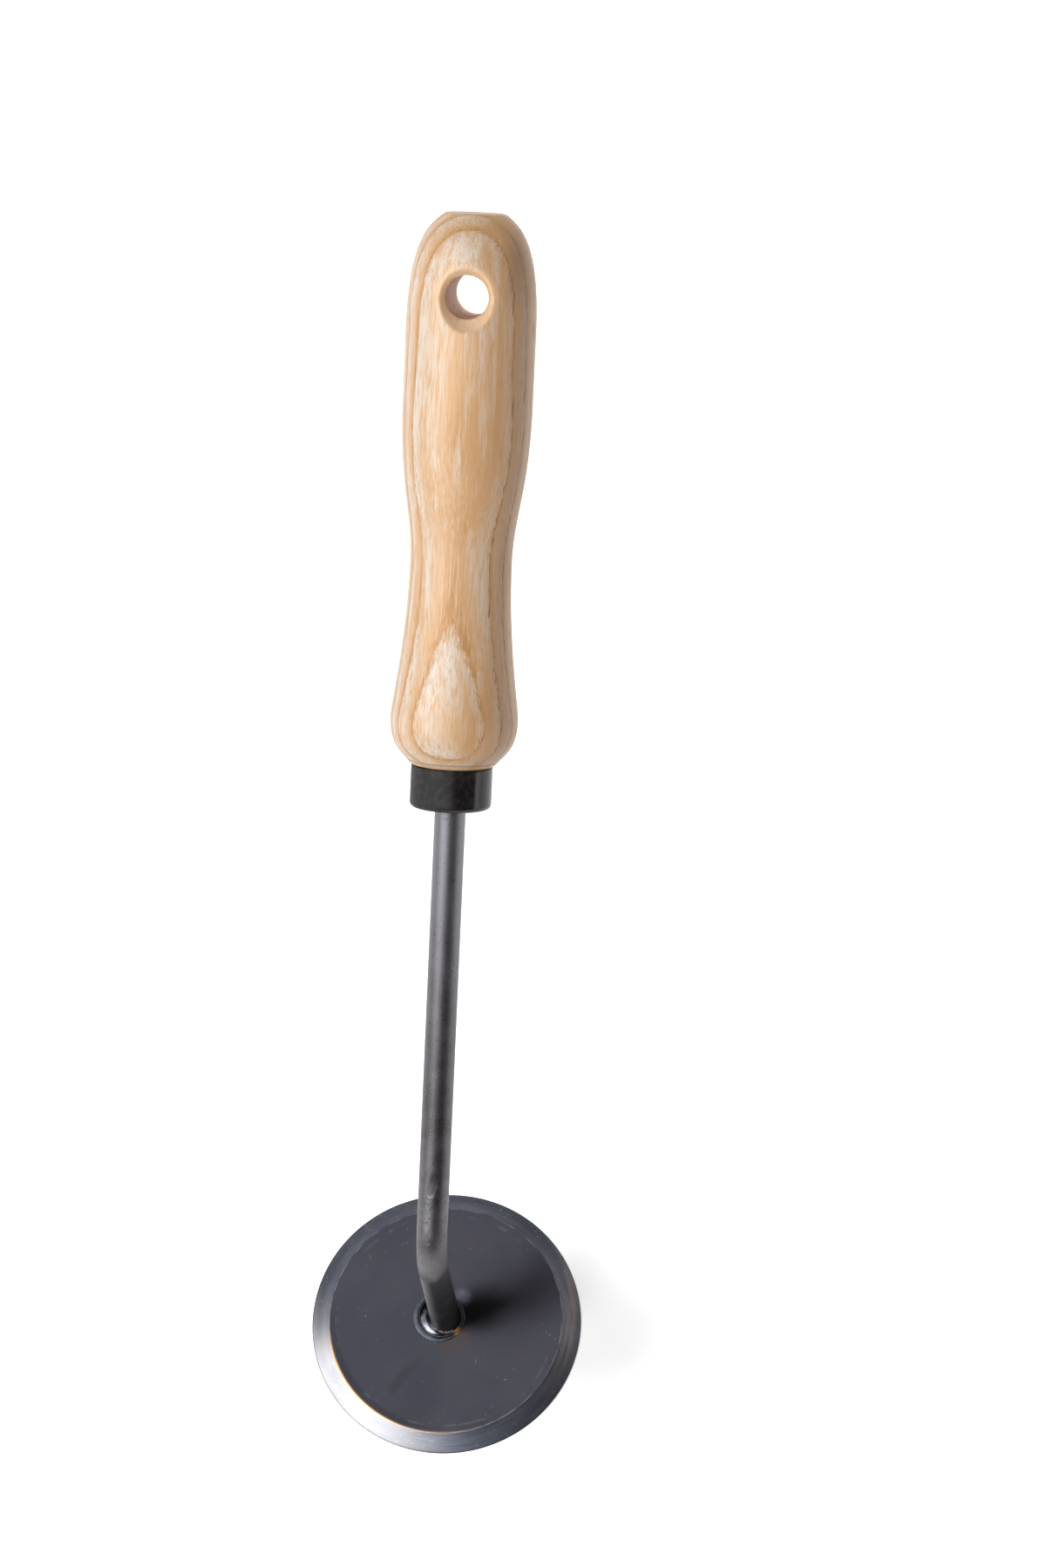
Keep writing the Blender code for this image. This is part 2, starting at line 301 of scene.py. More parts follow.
class StageSettings(bpy.types.PropertyGroup):
    """Sizes and strengths of the studio."""

    floor_radius: length("Floor radius", "Of the round floor", 4.0)
    key_power: power("Key power", "Of the lamp at the left", 10.8)
    sheen_power: power("Sheen power", "Of the large lamp that gloss sees", 15.0)
    side_power: power("Side power", "Of the lamp at the right", 0.44)
    back_power: power("Back power", "Of the small lamp behind", 4.2)
    bounce_power: power("Bounce power", "Of the warm light at the right", 2.5)
    rim_power: power("Rim power", "Of the faint light that gloss sees at the right", 0.38)
    fill: FloatProperty(
        name="Fill", description="Brightness of the room near the floor", default=0.55, min=0.0
    )


# Node trees


def is_output(value):
    """Whether a value comes out of a node, and isn't a plain number, colour or place."""
    return isinstance(value, bpy.types.NodeSocket)


def feed(socket, value):
    """Link an output to a socket, or set the socket's own value."""
    if is_output(value):
        socket.id_data.links.new(value, socket)
    else:
        socket.default_value = value


def add_node(kind, inputs, **properties):
    """Add a node to the tree of the outputs that feed it. Its inputs go by name or number."""
    tree = next(value.id_data for value in inputs.values() if is_output(value))
    node = tree.nodes.new(kind)
    for name, value in properties.items():
        setattr(node, name, value)
    for socket, value in inputs.items():
        feed(node.inputs[socket], value)
    return node


def calculate(operation, *values):
    """Add a Math node and give its result."""
    node = add_node("ShaderNodeMath", dict(enumerate(values)), operation=operation)
    return node.outputs["Value"]


def times(*factors):
    """Multiply numbers and outputs with each other."""
    product = factors[0]
    for factor in factors[1:]:
        product = calculate("MULTIPLY", product, factor)
    return product


def most(*values):
    """The largest of some numbers and outputs."""
    result = values[0]
    for value in values[1:]:
        result = calculate("MAXIMUM", result, value)
    return result


def slope(value, gain, base):
    """A value times a gain, on top of a base."""
    return calculate("MULTIPLY_ADD", value, gain, base)


def apart(value, level):
    """How far a value is from a level, on either side."""
    return calculate("ABSOLUTE", calculate("SUBTRACT", value, level))


def split(vector):
    """The three numbers of a place or a direction."""
    return tuple(add_node("ShaderNodeSeparateXYZ", {"Vector": vector}).outputs)


def join(x, y, z=0.0):
    """A place made of three numbers."""
    return add_node("ShaderNodeCombineXYZ", {"X": x, "Y": y, "Z": z}).outputs["Vector"]


def lay_out(tree):
    """Set a tree's nodes in columns, each one left of the nodes that it feeds."""
    column = {node.name: 0 for node in tree.nodes}
    for _ in range(len(tree.nodes)):
        moved = False
        for link in tree.links:
            wanted = column[link.to_node.name] + 1
            if column[link.from_node.name] < wanted:
                column[link.from_node.name] = wanted
                moved = True
        if not moved:
            break
    filled = {}
    for node in tree.nodes:
        place = column[node.name]
        node.location = (-240.0 * place, -190.0 * filled.get(place, 0))
        filled[place] = filled.get(place, 0) + 1


# Meshes


def add_object(name, data):
    """Put data into the scene under a name, in the place of an earlier object of that name."""
    earlier = bpy.data.objects.get(name)
    if earlier is not None:
        bpy.data.objects.remove(earlier, do_unlink=True)
    thing = bpy.data.objects.new(name, data)
    bpy.context.scene.collection.objects.link(thing)
    return thing


def new_group(name, source, more=None):
    """A Geometry Nodes tree with named inputs, and what those inputs give."""
    wanted = {
        source: ("Geometry", {}),
        "Sides": ("Int", {"default_value": 64, "min_value": 3}),
        **(more or {}),
        "Finish": ("Material", {}),
    }
    tree = bpy.data.node_groups.new(name, "GeometryNodeTree")
    for label, (kind, values) in wanted.items():
        socket = tree.interface.new_socket(label, in_out="INPUT", socket_type=f"NodeSocket{kind}")
        for key, value in values.items():
            setattr(socket, key, value)
    tree.interface.new_socket("Piece", in_out="OUTPUT", socket_type="NodeSocketGeometry")
    return tree, tree.nodes.new("NodeGroupInput").outputs


def finish_group(tree, given, geometry):
    """End a tree with smooth shading, real geometry and the piece's material."""
    for kind in ("GeometryNodeSetShadeSmooth", "GeometryNodeRealizeInstances"):
        geometry = add_node(kind, {"Geometry": geometry}).outputs["Geometry"]
    inputs = {"Geometry": geometry, "Material": given["Finish"]}
    dressed = add_node("GeometryNodeSetMaterial", inputs)
    add_node("NodeGroupOutput", {0: dressed.outputs["Geometry"]})
    lay_out(tree)
    return tree


def turning_tree(name):
    """Geometry Nodes that turn an outline about Z, as a lathe does."""
    tree, given = new_group(name, "Outline")
    outline = given["Outline"]
    sides = given["Sides"]
    count = add_node("GeometryNodeAttributeDomainSize", {"Geometry": outline}, component="MESH")
    rows = count.outputs["Point Count"]
    columns = calculate("ADD", sides, 1.0)
    grid = add_node("GeometryNodeMeshGrid", {"Vertices X": columns, "Vertices Y": rows})
    index = tree.nodes.new("GeometryNodeInputIndex").outputs["Index"]
    column = calculate("FLOOR", calculate("DIVIDE", index, rows))
    row = calculate("MODULO", index, rows)
    here = tree.nodes.new("GeometryNodeInputPosition").outputs["Position"]
    inputs = {"Geometry": outline, "Value": here, "Index": row}
    sample = add_node("GeometryNodeSampleIndex", inputs, data_type="FLOAT_VECTOR")
    radius, _, height = split(sample.outputs["Value"])
    share = calculate("DIVIDE", column, sides)
    angle = times(calculate("FRACT", share), math.tau)
    across = times(radius, calculate("COSINE", angle))
    deep = times(radius, calculate("SINE", angle))
    inputs = {"Geometry": grid.outputs["Mesh"], "Position": join(across, deep, height)}
    moved = add_node("GeometryNodeSetPosition", inputs)
    inputs = {"Geometry": moved.outputs["Geometry"], "Distance": SAME_POINT}
    merged = add_node("GeometryNodeMergeByDistance", inputs)
    return finish_group(tree, given, merged.outputs["Geometry"])


def sweeping_tree(name):
    """Geometry Nodes that sweep a round bar along a path, its radius read from the path."""
    width = ("Float", {"default_value": 0.008, "subtype": "DISTANCE"})
    tree, given = new_group(name, "Path", {"Diameter": width})
    half = calculate("DIVIDE", given["Diameter"], 2.0)
    inputs = {"Resolution": given["Sides"], "Radius": half}
    ring = add_node("GeometryNodeCurvePrimitiveCircle", inputs)
    inputs = {
        "Curve": given["Path"],
        "Profile Curve": ring.outputs["Curve"],
        "Scale": tree.nodes.new("GeometryNodeInputRadius").outputs["Radius"],
        "Fill Caps": True,
    }
    swept = add_node("GeometryNodeCurveToMesh", inputs)
    return finish_group(tree, given, swept.outputs["Mesh"])


def run_tree(name, data, tree_name, build, values):
    """Run a node tree on data and give its result as a plain mesh."""
    tree = bpy.data.node_groups.get(tree_name) or build(tree_name)
    source = add_object(f"{name}_source", data)
    step = source.modifiers.new(tree_name, "NODES")
    step.node_group = tree
    for item in tree.interface.items_tree:
        if item.name in values:
            step[item.identifier] = values[item.name]
    mesh = settled_mesh(source)
    mesh.name = name
    return mesh


def settled_mesh(source):
    """The mesh that an object's modifiers give. The object itself is taken out."""
    graph = bpy.context.evaluated_depsgraph_get()
    mesh = bpy.data.meshes.new_from_object(source.evaluated_get(graph))
    bpy.data.objects.remove(source, do_unlink=True)
    return mesh


def turn(name, outline, sides, material):
    """Turn an outline of (radius, height) points about Z into a plain mesh."""
    line = bpy.data.meshes.new(f"{name}_outline")
    line.from_pydata(
        [(radius, 0.0, height) for radius, height in outline],
        [(step, step + 1) for step in range(len(outline) - 1)],
        [],
    )
    values = {"Sides": sides, "Finish": material}
    mesh = run_tree(name, line, "turn_outline", turning_tree, values)
    close_up(mesh)
    return mesh


def close_up(mesh):
    """Merge a mesh's double corners and point its faces outwards."""
    shape = bmesh.new()
    shape.from_mesh(mesh)
    bmesh.ops.remove_doubles(shape, verts=shape.verts, dist=SAME_POINT)
    bmesh.ops.recalc_face_normals(shape, faces=shape.faces)
    shape.to_mesh(mesh)
    shape.free()
    mesh.shade_smooth()
    mesh.set_sharp_from_angle(angle=SHARP_EDGE)


def read_corners(mesh, what="co"):
    """The places of a mesh's corners, or their normals, as an array."""
    flat = np.empty(3 * len(mesh.vertices), np.float32)
    mesh.vertices.foreach_get(what, flat)
    return flat.reshape(-1, 3).astype(float)


def set_corners(mesh, corners):
    """Write an array of corners back to a mesh."""
    mesh.vertices.foreach_set("co", corners.astype(np.float32).ravel())
    mesh.update()


def keep_mask(mesh, name, values):
    """Store one number per corner, for the material to read."""
    layer = mesh.attributes.new(name, "FLOAT", "POINT")
    layer.data.foreach_set("value", np.asarray(values, np.float32))


def fade(values, start, end):
    """0 at start and 1 at end, with a smooth step between."""
    share = np.clip((np.asarray(values, float) - start) / (end - start), 0.0, 1.0)
    return share * share * (3.0 - 2.0 * share)


def add_piece(name, mesh, material, node):
    """Put a finished mesh into the scene in the place of its CAD node."""
    mesh.materials.clear()
    mesh.materials.append(material)
    mesh.polygons.foreach_set("material_index", [0] * len(mesh.polygons))
    piece = add_object(name, mesh)
    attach(piece, "root")
    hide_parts(node)


def arc(centre, radius, start, end, steps):
    """Points of a circular arc in the plane of an outline, from one angle to another."""
    angles = [start + (end - start) * step / steps for step in range(steps + 1)]
    return [(centre[0] + radius * math.cos(a), centre[1] + radius * math.sin(a)) for a in angles]


def soften(before, corner, after, reach, steps):
    """Points of a rounded corner, which starts and ends a distance from the sharp one."""
    corner = Vector(corner)
    start = corner + (Vector(before) - corner).normalized() * reach
    end = corner + (Vector(after) - corner).normalized() * reach
    points = []
    for step in range(steps + 1):
        share = step / steps
        point = start.lerp(corner, share).lerp(corner.lerp(end, share), share)
        points.append(tuple(point))
    return points


def respace(points, step_at):
    """Points along the same line, standing the wanted step apart at each height."""
    path = np.array(points)
    reach = np.concatenate(([0.0], np.cumsum(np.linalg.norm(np.diff(path, axis=0), axis=1))))
    stations = [0.0]
    while stations[-1] < reach[-1]:
        height = np.interp(stations[-1], reach, path[:, 1])
        stations.append(stations[-1] + step_at(height))
    stations = np.array(stations) * reach[-1] / stations[-1]
    columns = [np.interp(stations, reach, path[:, axis]) for axis in (0, 1)]
    return [tuple(point) for point in np.column_stack(columns)]


# Node-building words for the materials


def new_material(name):
    """An empty Principled material, its tree and its shader."""
    earlier = bpy.data.materials.get(name)
    if earlier is not None:
        bpy.data.materials.remove(earlier)
    material = bpy.data.materials.new(name)
    material.use_nodes = True
    tree = material.node_tree
    return material, tree, tree.nodes["Principled BSDF"]


def object_spot(tree):
    """The place on the object, in metres."""
    return tree.nodes.new("ShaderNodeTexCoord").outputs["Object"]


def on_handle_line(spot):
    """The place measured from the bend's corner: Z along the handle, -Y to its upper side."""
    inputs = {
        "Vector": spot,
        "Location": HANDLE_LINE.translation,
        "Rotation": (HANDLE_RISE - math.pi / 2.0, 0.0, 0.0),
    }
    return add_node("ShaderNodeMapping", inputs, vector_type="TEXTURE").outputs["Vector"]


def stretch(spot, scale):
    """Scale a place differently along each axis, in features per metre."""
    return add_node("ShaderNodeMapping", {"Vector": spot, "Scale": scale}).outputs["Vector"]


def mottle(spot, scale=1.0, detail=3.0, roughness=0.5):
    """Add a Noise Texture and give its grey value."""
    inputs = {"Vector": spot, "Scale": scale, "Detail": detail, "Roughness": roughness}
    return add_node("ShaderNodeTexNoise", inputs).outputs["Fac"]


def fibre(spot, across, along, detail=3.0, roughness=0.5):
    """A Noise Texture drawn out along Z, with so many features per metre across and along."""
    return mottle(stretch(spot, (across, across, along)), 1.0, detail, roughness)


def grade(value, start, end, low=0.0, high=1.0):
    """Map a value between two limits smoothly, and hold it outside them."""
    inputs = {"Value": value, "From Min": start, "From Max": end, "To Min": low, "To Max": high}
    node = add_node("ShaderNodeMapRange", inputs, interpolation_type="SMOOTHSTEP")
    return node.outputs["Result"]


def near(spot, centre, start, end):
    """Grade a place by its distance from a centre."""
    node = add_node("ShaderNodeVectorMath", {0: spot, 1: centre}, operation="DISTANCE")
    return grade(node.outputs["Value"], start, end)


def between(share, first, second):
    """Mix two numbers."""
    return add_node("ShaderNodeMix", {0: share, 2: first, 3: second}).outputs[0]


def tint(share, first, second):
    """Mix two colours."""
    inputs = {0: share}
    for socket, shade in ((6, first), (7, second)):
        inputs[socket] = shade if is_output(shade) else (*shade, 1.0)
    return add_node("ShaderNodeMix", inputs, data_type="RGBA").outputs[2]


def coats(shade, *layers):
    """Lay colours over a shade in turn, each as thick as the product of its shares."""
    for layer, *shares in layers:
        shade = tint(times(*shares), shade, layer)
    return shade


def ramp(value, stops):
    """A colour ramp through (place, colour) stops."""
    node = add_node("ShaderNodeValToRGB", {"Fac": value})
    elements = node.color_ramp.elements
    while len(elements) < len(stops):
        elements.new(0.5)
    for element, (place, shade) in zip(elements, stops):
        element.position = place
        element.color = (*shade, 1.0)
    return node.outputs["Color"]


def mask(tree, name):
    """Read a number that the mesh stores per corner."""
    node = tree.nodes.new("ShaderNodeAttribute")
    node.attribute_name = name
    return node.outputs["Fac"]


def blend(first, second, share):
    """A colour part of the way between two."""
    return tuple(a + (b - a) * share for a, b in zip(first, second))


def finish_material(shader, shade, rough, *bumps):
    """Give a shader its colour, its roughness and its bumps, each (height, distance, strength)."""
    feed(shader.inputs["Base Color"], shade)
    feed(shader.inputs["Roughness"], rough)
    under = {}
    for height, distance, strength in bumps:
        inputs = {"Height": height, "Distance": distance, "Strength": strength, **under}
        under = {"Normal": add_node("ShaderNodeBump", inputs).outputs["Normal"]}
    feed(shader.inputs["Normal"], under["Normal"])
    lay_out(shader.id_data)


def ring_spot(spot, across, around):
    """A place measured outwards and round the tool's upright axis, with no seam."""
    x, y, _ = split(spot)
    flat = join(x, y)
    radius = add_node("ShaderNodeVectorMath", {0: flat}, operation="LENGTH").outputs["Value"]
    way = add_node("ShaderNodeVectorMath", {0: flat}, operation="NORMALIZE")
    way_x, way_y, _ = split(way.outputs["Vector"])
    wound = join(times(radius, across), times(way_x, around), times(way_y, around))
    return radius, wound


# Blade


def bevel_shade(settings, spot, radius, brushed, turned, cloud, painted_lit_side):
    """Ground steel: bluish, with a painted highlight at its front left, a warm painted reflection at
    its right, painted shade towards the back edge, and fine lines.
    """
    x, y, _ = split(spot)
    scuffed = mottle(stretch(spot, (900.0, 1500.0, 400.0)))
    return coats(
        settings.ground,
        # Painted shade: duller towards the edge at the back
        ((0.06, 0.065, 0.085), grade(radius, 0.0330, 0.0352), grade(y, -0.004, 0.006), 0.26),
        # Painted highlight at the front left
        (settings.painted_bevel_highlight, painted_lit_side),
        # Warm painted reflection at the right
        (settings.painted_warm_reflection, grade(x, 0.024, 0.034), grade(turned, 0.35, 0.65, 0.2, 0.7)),
        # Dull clouds
        ((0.08, 0.085, 0.10), grade(calculate("ADD", turned, cloud), 0.80, 1.20, 0.30, 0.0)),
        # Grinding lines, fainter under the painted highlight
        ((0.05, 0.055, 0.07), grade(brushed, 0.36, 0.62, 0.26, 0.0), grade(painted_lit_side, 0.0, 1.0, 1.0, 0.25)),
        # Short bright scuffs
        ((0.72, 0.73, 0.76), grade(scuffed, 0.62, 0.70), 0.45),
    )


def stain_and_painted_light(settings, shade, spot, off_bevel):
    """Lay a heat stain, painted shadow and a painted highlight over the plate's colour."""
    patchy = grade(mottle(spot, 420.0, detail=4.0), 0.36, 0.64, 0.35, 0.80)
    for place, reach, mark, strength, broken in STAIN_AND_PAINTED_LIGHT_MARKS:
        share = near(spot, (*place, settings.thickness), *reach)
        shade = coats(shade, (mark, share, strength, patchy if broken else off_bevel))
    return shade


def blade_steel(settings):
    """Rolled plate with a ground bevel, scuffed in rings and worn at the bevel's inner edge, with
    painted highlights, a painted reflection and painted shadows.
    """
    material, tree, shader = new_material("blade_steel")
    spot = object_spot(tree)
    x, y, z = split(spot)
    radius, fine_rings = ring_spot(spot, 5200.0, 3.0)
    wide_rings = ring_spot(spot, 420.0, 1.2)[1]
    brushed = mottle(fine_rings, detail=4.0, roughness=0.65)
    turned = mottle(wide_rings, detail=2.0)
    cloud = mottle(spot, 60.0)
    grain = mottle(spot, 3800.0)
    rim = settings.diameter / 2.0
    shoulder = rim - settings.bevel_width
    upper = grade(z, 0.00012, 0.00024)
    on_bevel = times(grade(radius, shoulder - 0.0001, shoulder + 0.0001), upper)
    off_bevel = grade(on_bevel, 0.0, 1.0, 1.0, 0.0)
    edge = apart(radius, shoulder)
    rub_line = apart(radius, shoulder - 0.0019)
    # Where the bevel gets its painted highlight, at the front left
    painted_lit_side = grade(slope(x, 1.1, y), -0.025, -0.045)
    plate = tint(
        grade(cloud, 0.35, 0.65),
        blend(settings.plate, BLACK, 0.05),
        blend(settings.plate, WHITE, 0.008),
    )
    ground = bevel_shade(settings, spot, radius, brushed, turned, cloud, painted_lit_side)
    cracks = add_node(
        "ShaderNodeTexVoronoi", {"Vector": spot, "Scale": 90.0}, feature="DISTANCE_TO_EDGE"
    )
    shade = coats(
        tint(on_bevel, plate, ground),
        # Hair scratches
        (
            (0.42, 0.43, 0.46),
            grade(cracks.outputs["Distance"], 0.006, 0.001),
            grade(mottle(spot, 700.0, detail=2.0), 0.58, 0.66),
            0.45,
        ),
        # The cutting edge itself
        ((0.16, 0.16, 0.18), grade(radius, rim - 0.0004, rim - 0.0001, 0.0, 0.6)),
        # Bare steel where the bevel's inner edge is worn
        ((0.44, 0.44, 0.47), grade(edge, 0.00028, 0.00002), grade(mottle(spot, 260.0), 0.4, 0.6), 0.7),
        # Rust along the bevel's inner edge, at its front left
        (
            (0.74, 0.40, 0.16),
            grade(edge, 0.00055, 0.00010),
            grade(x, 0.010, 0.002),
            grade(turned, 0.30, 0.55, 0.35, 0.85),
            grade(y, -0.002, -0.014),
        ),
        # A dark line inside the bevel
        (
            (0.030, 0.032, 0.045),
            grade(radius, shoulder - 0.0024, shoulder - 0.0017),
            off_bevel,
            painted_lit_side,
            0.40,
        ),
        # A broken ring that the grinder rubbed
        (
            (0.30, 0.31, 0.34),
            grade(rub_line, 0.0006, 0.0001),
            grade(mottle(spot, 190.0), 0.50, 0.62),
            grade(brushed, 0.42, 0.62, 0.05, 0.34),
        ),
    )
    beside_painted_shadow = slope(y, -0.515, times(x, 0.857))
    shade = coats(
        stain_and_painted_light(settings, shade, spot, off_bevel),
        # Painted shadow: a dark streak from the rod towards the front
        (
            (0.020, 0.020, 0.028),
            grade(calculate("ABSOLUTE", beside_painted_shadow), 0.0022, 0.0004),
            grade(y, -0.010, -0.016),
            grade(radius, 0.0265, 0.0235, 0.0, 0.22),
        ),
    )
    feed(shader.inputs["Metallic"], grade(on_bevel, 0.0, 1.0, 0.04, 1.0))
    shader.inputs["Specular IOR Level"].default_value = 0.06
    dull = slope(brushed, 0.10, 0.42)
    bright = slope(brushed, 0.14, 0.32)
    finish_material(
        shader,
        tint(upper, plate, shade),
        between(on_bevel, dull, bright),
        (grain, 0.000006, 0.5),
        (brushed, 0.00001, 0.6),
    )
    return material


def blade_outline(settings):
    """Outline of the blade, its corners eased as far as the eye can see."""
    edge = settings.diameter / 2.0
    land = settings.edge_land
    top = settings.thickness
    shoulder = edge - settings.bevel_width
    outline = [(0.0, 0.0), (edge * 0.5, 0.0), (edge - 0.0006, 0.0)]
    outline += soften((0.0, 0.0), (edge, 0.0), (edge, land), CUTTING_EDGE_EASE, 3)
    outline += soften((edge, 0.0), (edge, land), (shoulder, top), CUTTING_EDGE_EASE, 3)
    slant = Vector((shoulder - edge, top - land)).normalized() * 0.0005
    outline.append(tuple(Vector((edge, land)) + slant))
    outline.append(tuple(Vector((shoulder, top)) - slant))
    outline += soften((edge, land), (shoulder, top), (0.0, top), SHOULDER_EASE, 5)
    outline += [(shoulder - 0.0006, top), (edge * 0.5, top), (edge * 0.2, top), (0.0, top)]
    return outline


class MakeBlade(bpy.types.Operator):
    """Make the round blade with its ground bevel"""

    bl_idname = "disc_weeder.make_blade"
    bl_label = "Blade"

    def execute(self, context):
        settings = context.scene.disc_weeder_blade
        material = blade_steel(settings)
        mesh = turn("ground_blade", blade_outline(settings), settings.sides, material)
        add_piece("ground_blade", mesh, material, "disc_blade")
        return {"FINISHED"}


# Weld bead


def weld_metal(settings):
    """Smooth weld metal, brightest at its left front, with painted shade behind and right of the rod,
    a painted highlight line at the rod's foot, a dull rim and a brassy spot.
    """
    material, tree, shader = new_material("weld_metal")
    spot = object_spot(tree)
    x, y, _ = split(spot)
    radius, ripple_spot = ring_spot(spot, 500.0, 1.6)
    ripple = mottle(ripple_spot, detail=2.0)
    cloud = mottle(spot, 620.0)
    grain = mottle(spot, 3600.0)
    toe = mask(tree, "toe")
    brass = near(spot, STAIN_AT, *STAIN_FADE)
    brass = times(brass, grade(cloud, 0.30, 0.45))
    # Painted highlight: a broken bright line at the front of the rod's foot
    painted_glint_line = times(grade(radius, 0.0049, 0.0043), grade(y, -0.0028, -0.0038), grade(grain, 0.44, 0.56))
    metal = settings.metal
    rolled = grade(cloud, 0.35, 0.65)
    shade = coats(
        tint(grade(cloud, 0.36, 0.62), blend(metal, BLACK, 0.55), metal),
        # Painted shade behind the rod, and more painted shade at the rod's right
        (blend(metal, BLACK, 0.93), grade(y, -0.0044, -0.0014, 0.0, 0.84)),
        (blend(metal, BLACK, 0.72), grade(x, -0.0034, -0.0012, 0.0, 0.60)),
        # The flat rim, and a painted highlight line where the bead meets the rod
        (tint(rolled, (0.070, 0.082, 0.104), (0.118, 0.134, 0.165)), toe),
        ((0.70, 0.62, 0.54), painted_glint_line, 0.8),
        (settings.rust, brass),
    )
    plain = most(times(brass, 0.6), painted_glint_line, times(toe, 0.75))
    feed(shader.inputs["Metallic"], grade(plain, 0.0, 1.0, 1.0, 0.2))
    rough = slope(toe, 0.26, slope(cloud, 0.22, 0.10))
    finish_material(shader, shade, rough, (ripple, 0.00006, 0.10), (grain, 0.000006, 0.3))
    return material


def weld_reach(settings, rod, angle):
    """Distance from the rod's axis to the weld's toe, in one direction round the rod."""
    offset_x, offset_y = settings.offset
    along = offset_x * math.cos(angle) + offset_y * math.sin(angle)
    across = offset_y * math.cos(angle) - offset_x * math.sin(angle)
    toe = along + math.sqrt(max((settings.diameter / 2.0) ** 2 - across**2, 0.0))
    wave = 0.00006 * math.sin(3.0 * angle + 0.7) + 0.00004 * math.sin(7.0 * angle + 2.0)
    return max(toe + wave, rod / 2.0 + WELD_LEAST)


def weld_rib(settings, width, crown):
    """One rib of the bead, as (distance from the rod, height) from the rod out to the toe."""
    ring = min(settings.toe_ring, RIM_SHARE * width)
    dome = width - ring
    rim = settings.toe_height
    crease = rim + RIM_SWELLING
    rib = [(0.0, 0.0)]
    for step in range(WELD_DOME_STEPS + 1):
        turned = math.pi / 2.0 * step / WELD_DOME_STEPS
        out = dome * math.sin(turned) ** DOME_FULLNESS
        up = (crown - crease) * max(math.cos(turned), 0.0) ** DOME_FULLNESS
        rib.append((out, crease + up))
    for step in range(1, WELD_RING_STEPS + 1):
        share = step / WELD_RING_STEPS
        height = crease + RIM_SWELLING * math.sin(math.pi * share) - RIM_SAG * share
        rib.append((dome + (ring - RIM_SWELLING) * share, height))
    rib += [(width, rim * 0.45), (width + 0.00004, 0.0)]
    return rib


def weld_toe_mask():
    """0 on the dome and 1 on the flat rim, for each corner of a rib."""
    dome = [0.0] * (1 + WELD_DOME_STEPS)
    return np.array(dome + [0.5] + [1.0] * (WELD_RING_STEPS + 2))


def weld_mesh(settings, rod, floor):
    """The bead as a closed ring of ribs, with its flat rim marked for the material."""
    inside = rod / 2.0 + SEAT
    widest = settings.diameter / 2.0 + math.hypot(*settings.offset) - inside
    shape = bmesh.new()
    ribs = []
    for side in range(WELD_SIDES):
        angle = math.tau * side / WELD_SIDES
        width = weld_reach(settings, rod, angle) - inside
        rise = (settings.height - settings.toe_height) * math.sqrt(width / widest)
        row = []
        for out, up in weld_rib(settings, width, settings.toe_height + rise):
            reach = inside + out
            point = Vector((reach * math.cos(angle), reach * math.sin(angle), floor + up))
            if min(out, up) > RIPPLE_START:
                point.z += noise.noise(point * RIPPLES) * RIPPLE_HEIGHT
            row.append(shape.verts.new(point))
        ribs.append(row)
    for rib, following in zip(ribs, ribs[1:] + ribs[:1]):
        for step in range(len(rib)):
            after = (step + 1) % len(rib)
            shape.faces.new((rib[step], following[step], following[after], rib[after]))
    mesh = bpy.data.meshes.new("weld_seam")
    shape.to_mesh(mesh)
    shape.free()
    keep_mask(mesh, "toe", np.tile(weld_toe_mask(), WELD_SIDES))
    close_up(mesh)
    return mesh


class MakeWeld(bpy.types.Operator):
    """Make the weld bead round the foot of the rod"""

    bl_idname = "disc_weeder.make_weld"
    bl_label = "Weld bead"

    def execute(self, context):
        settings = context.scene.disc_weeder_weld
        floor = context.scene.disc_weeder_blade.thickness + SEAT
        mesh = weld_mesh(settings, context.scene.disc_weeder_shank.diameter, floor)
        add_piece("weld_seam", mesh, weld_metal(settings), "weld_bead")
        return {"FINISHED"}


# Shank


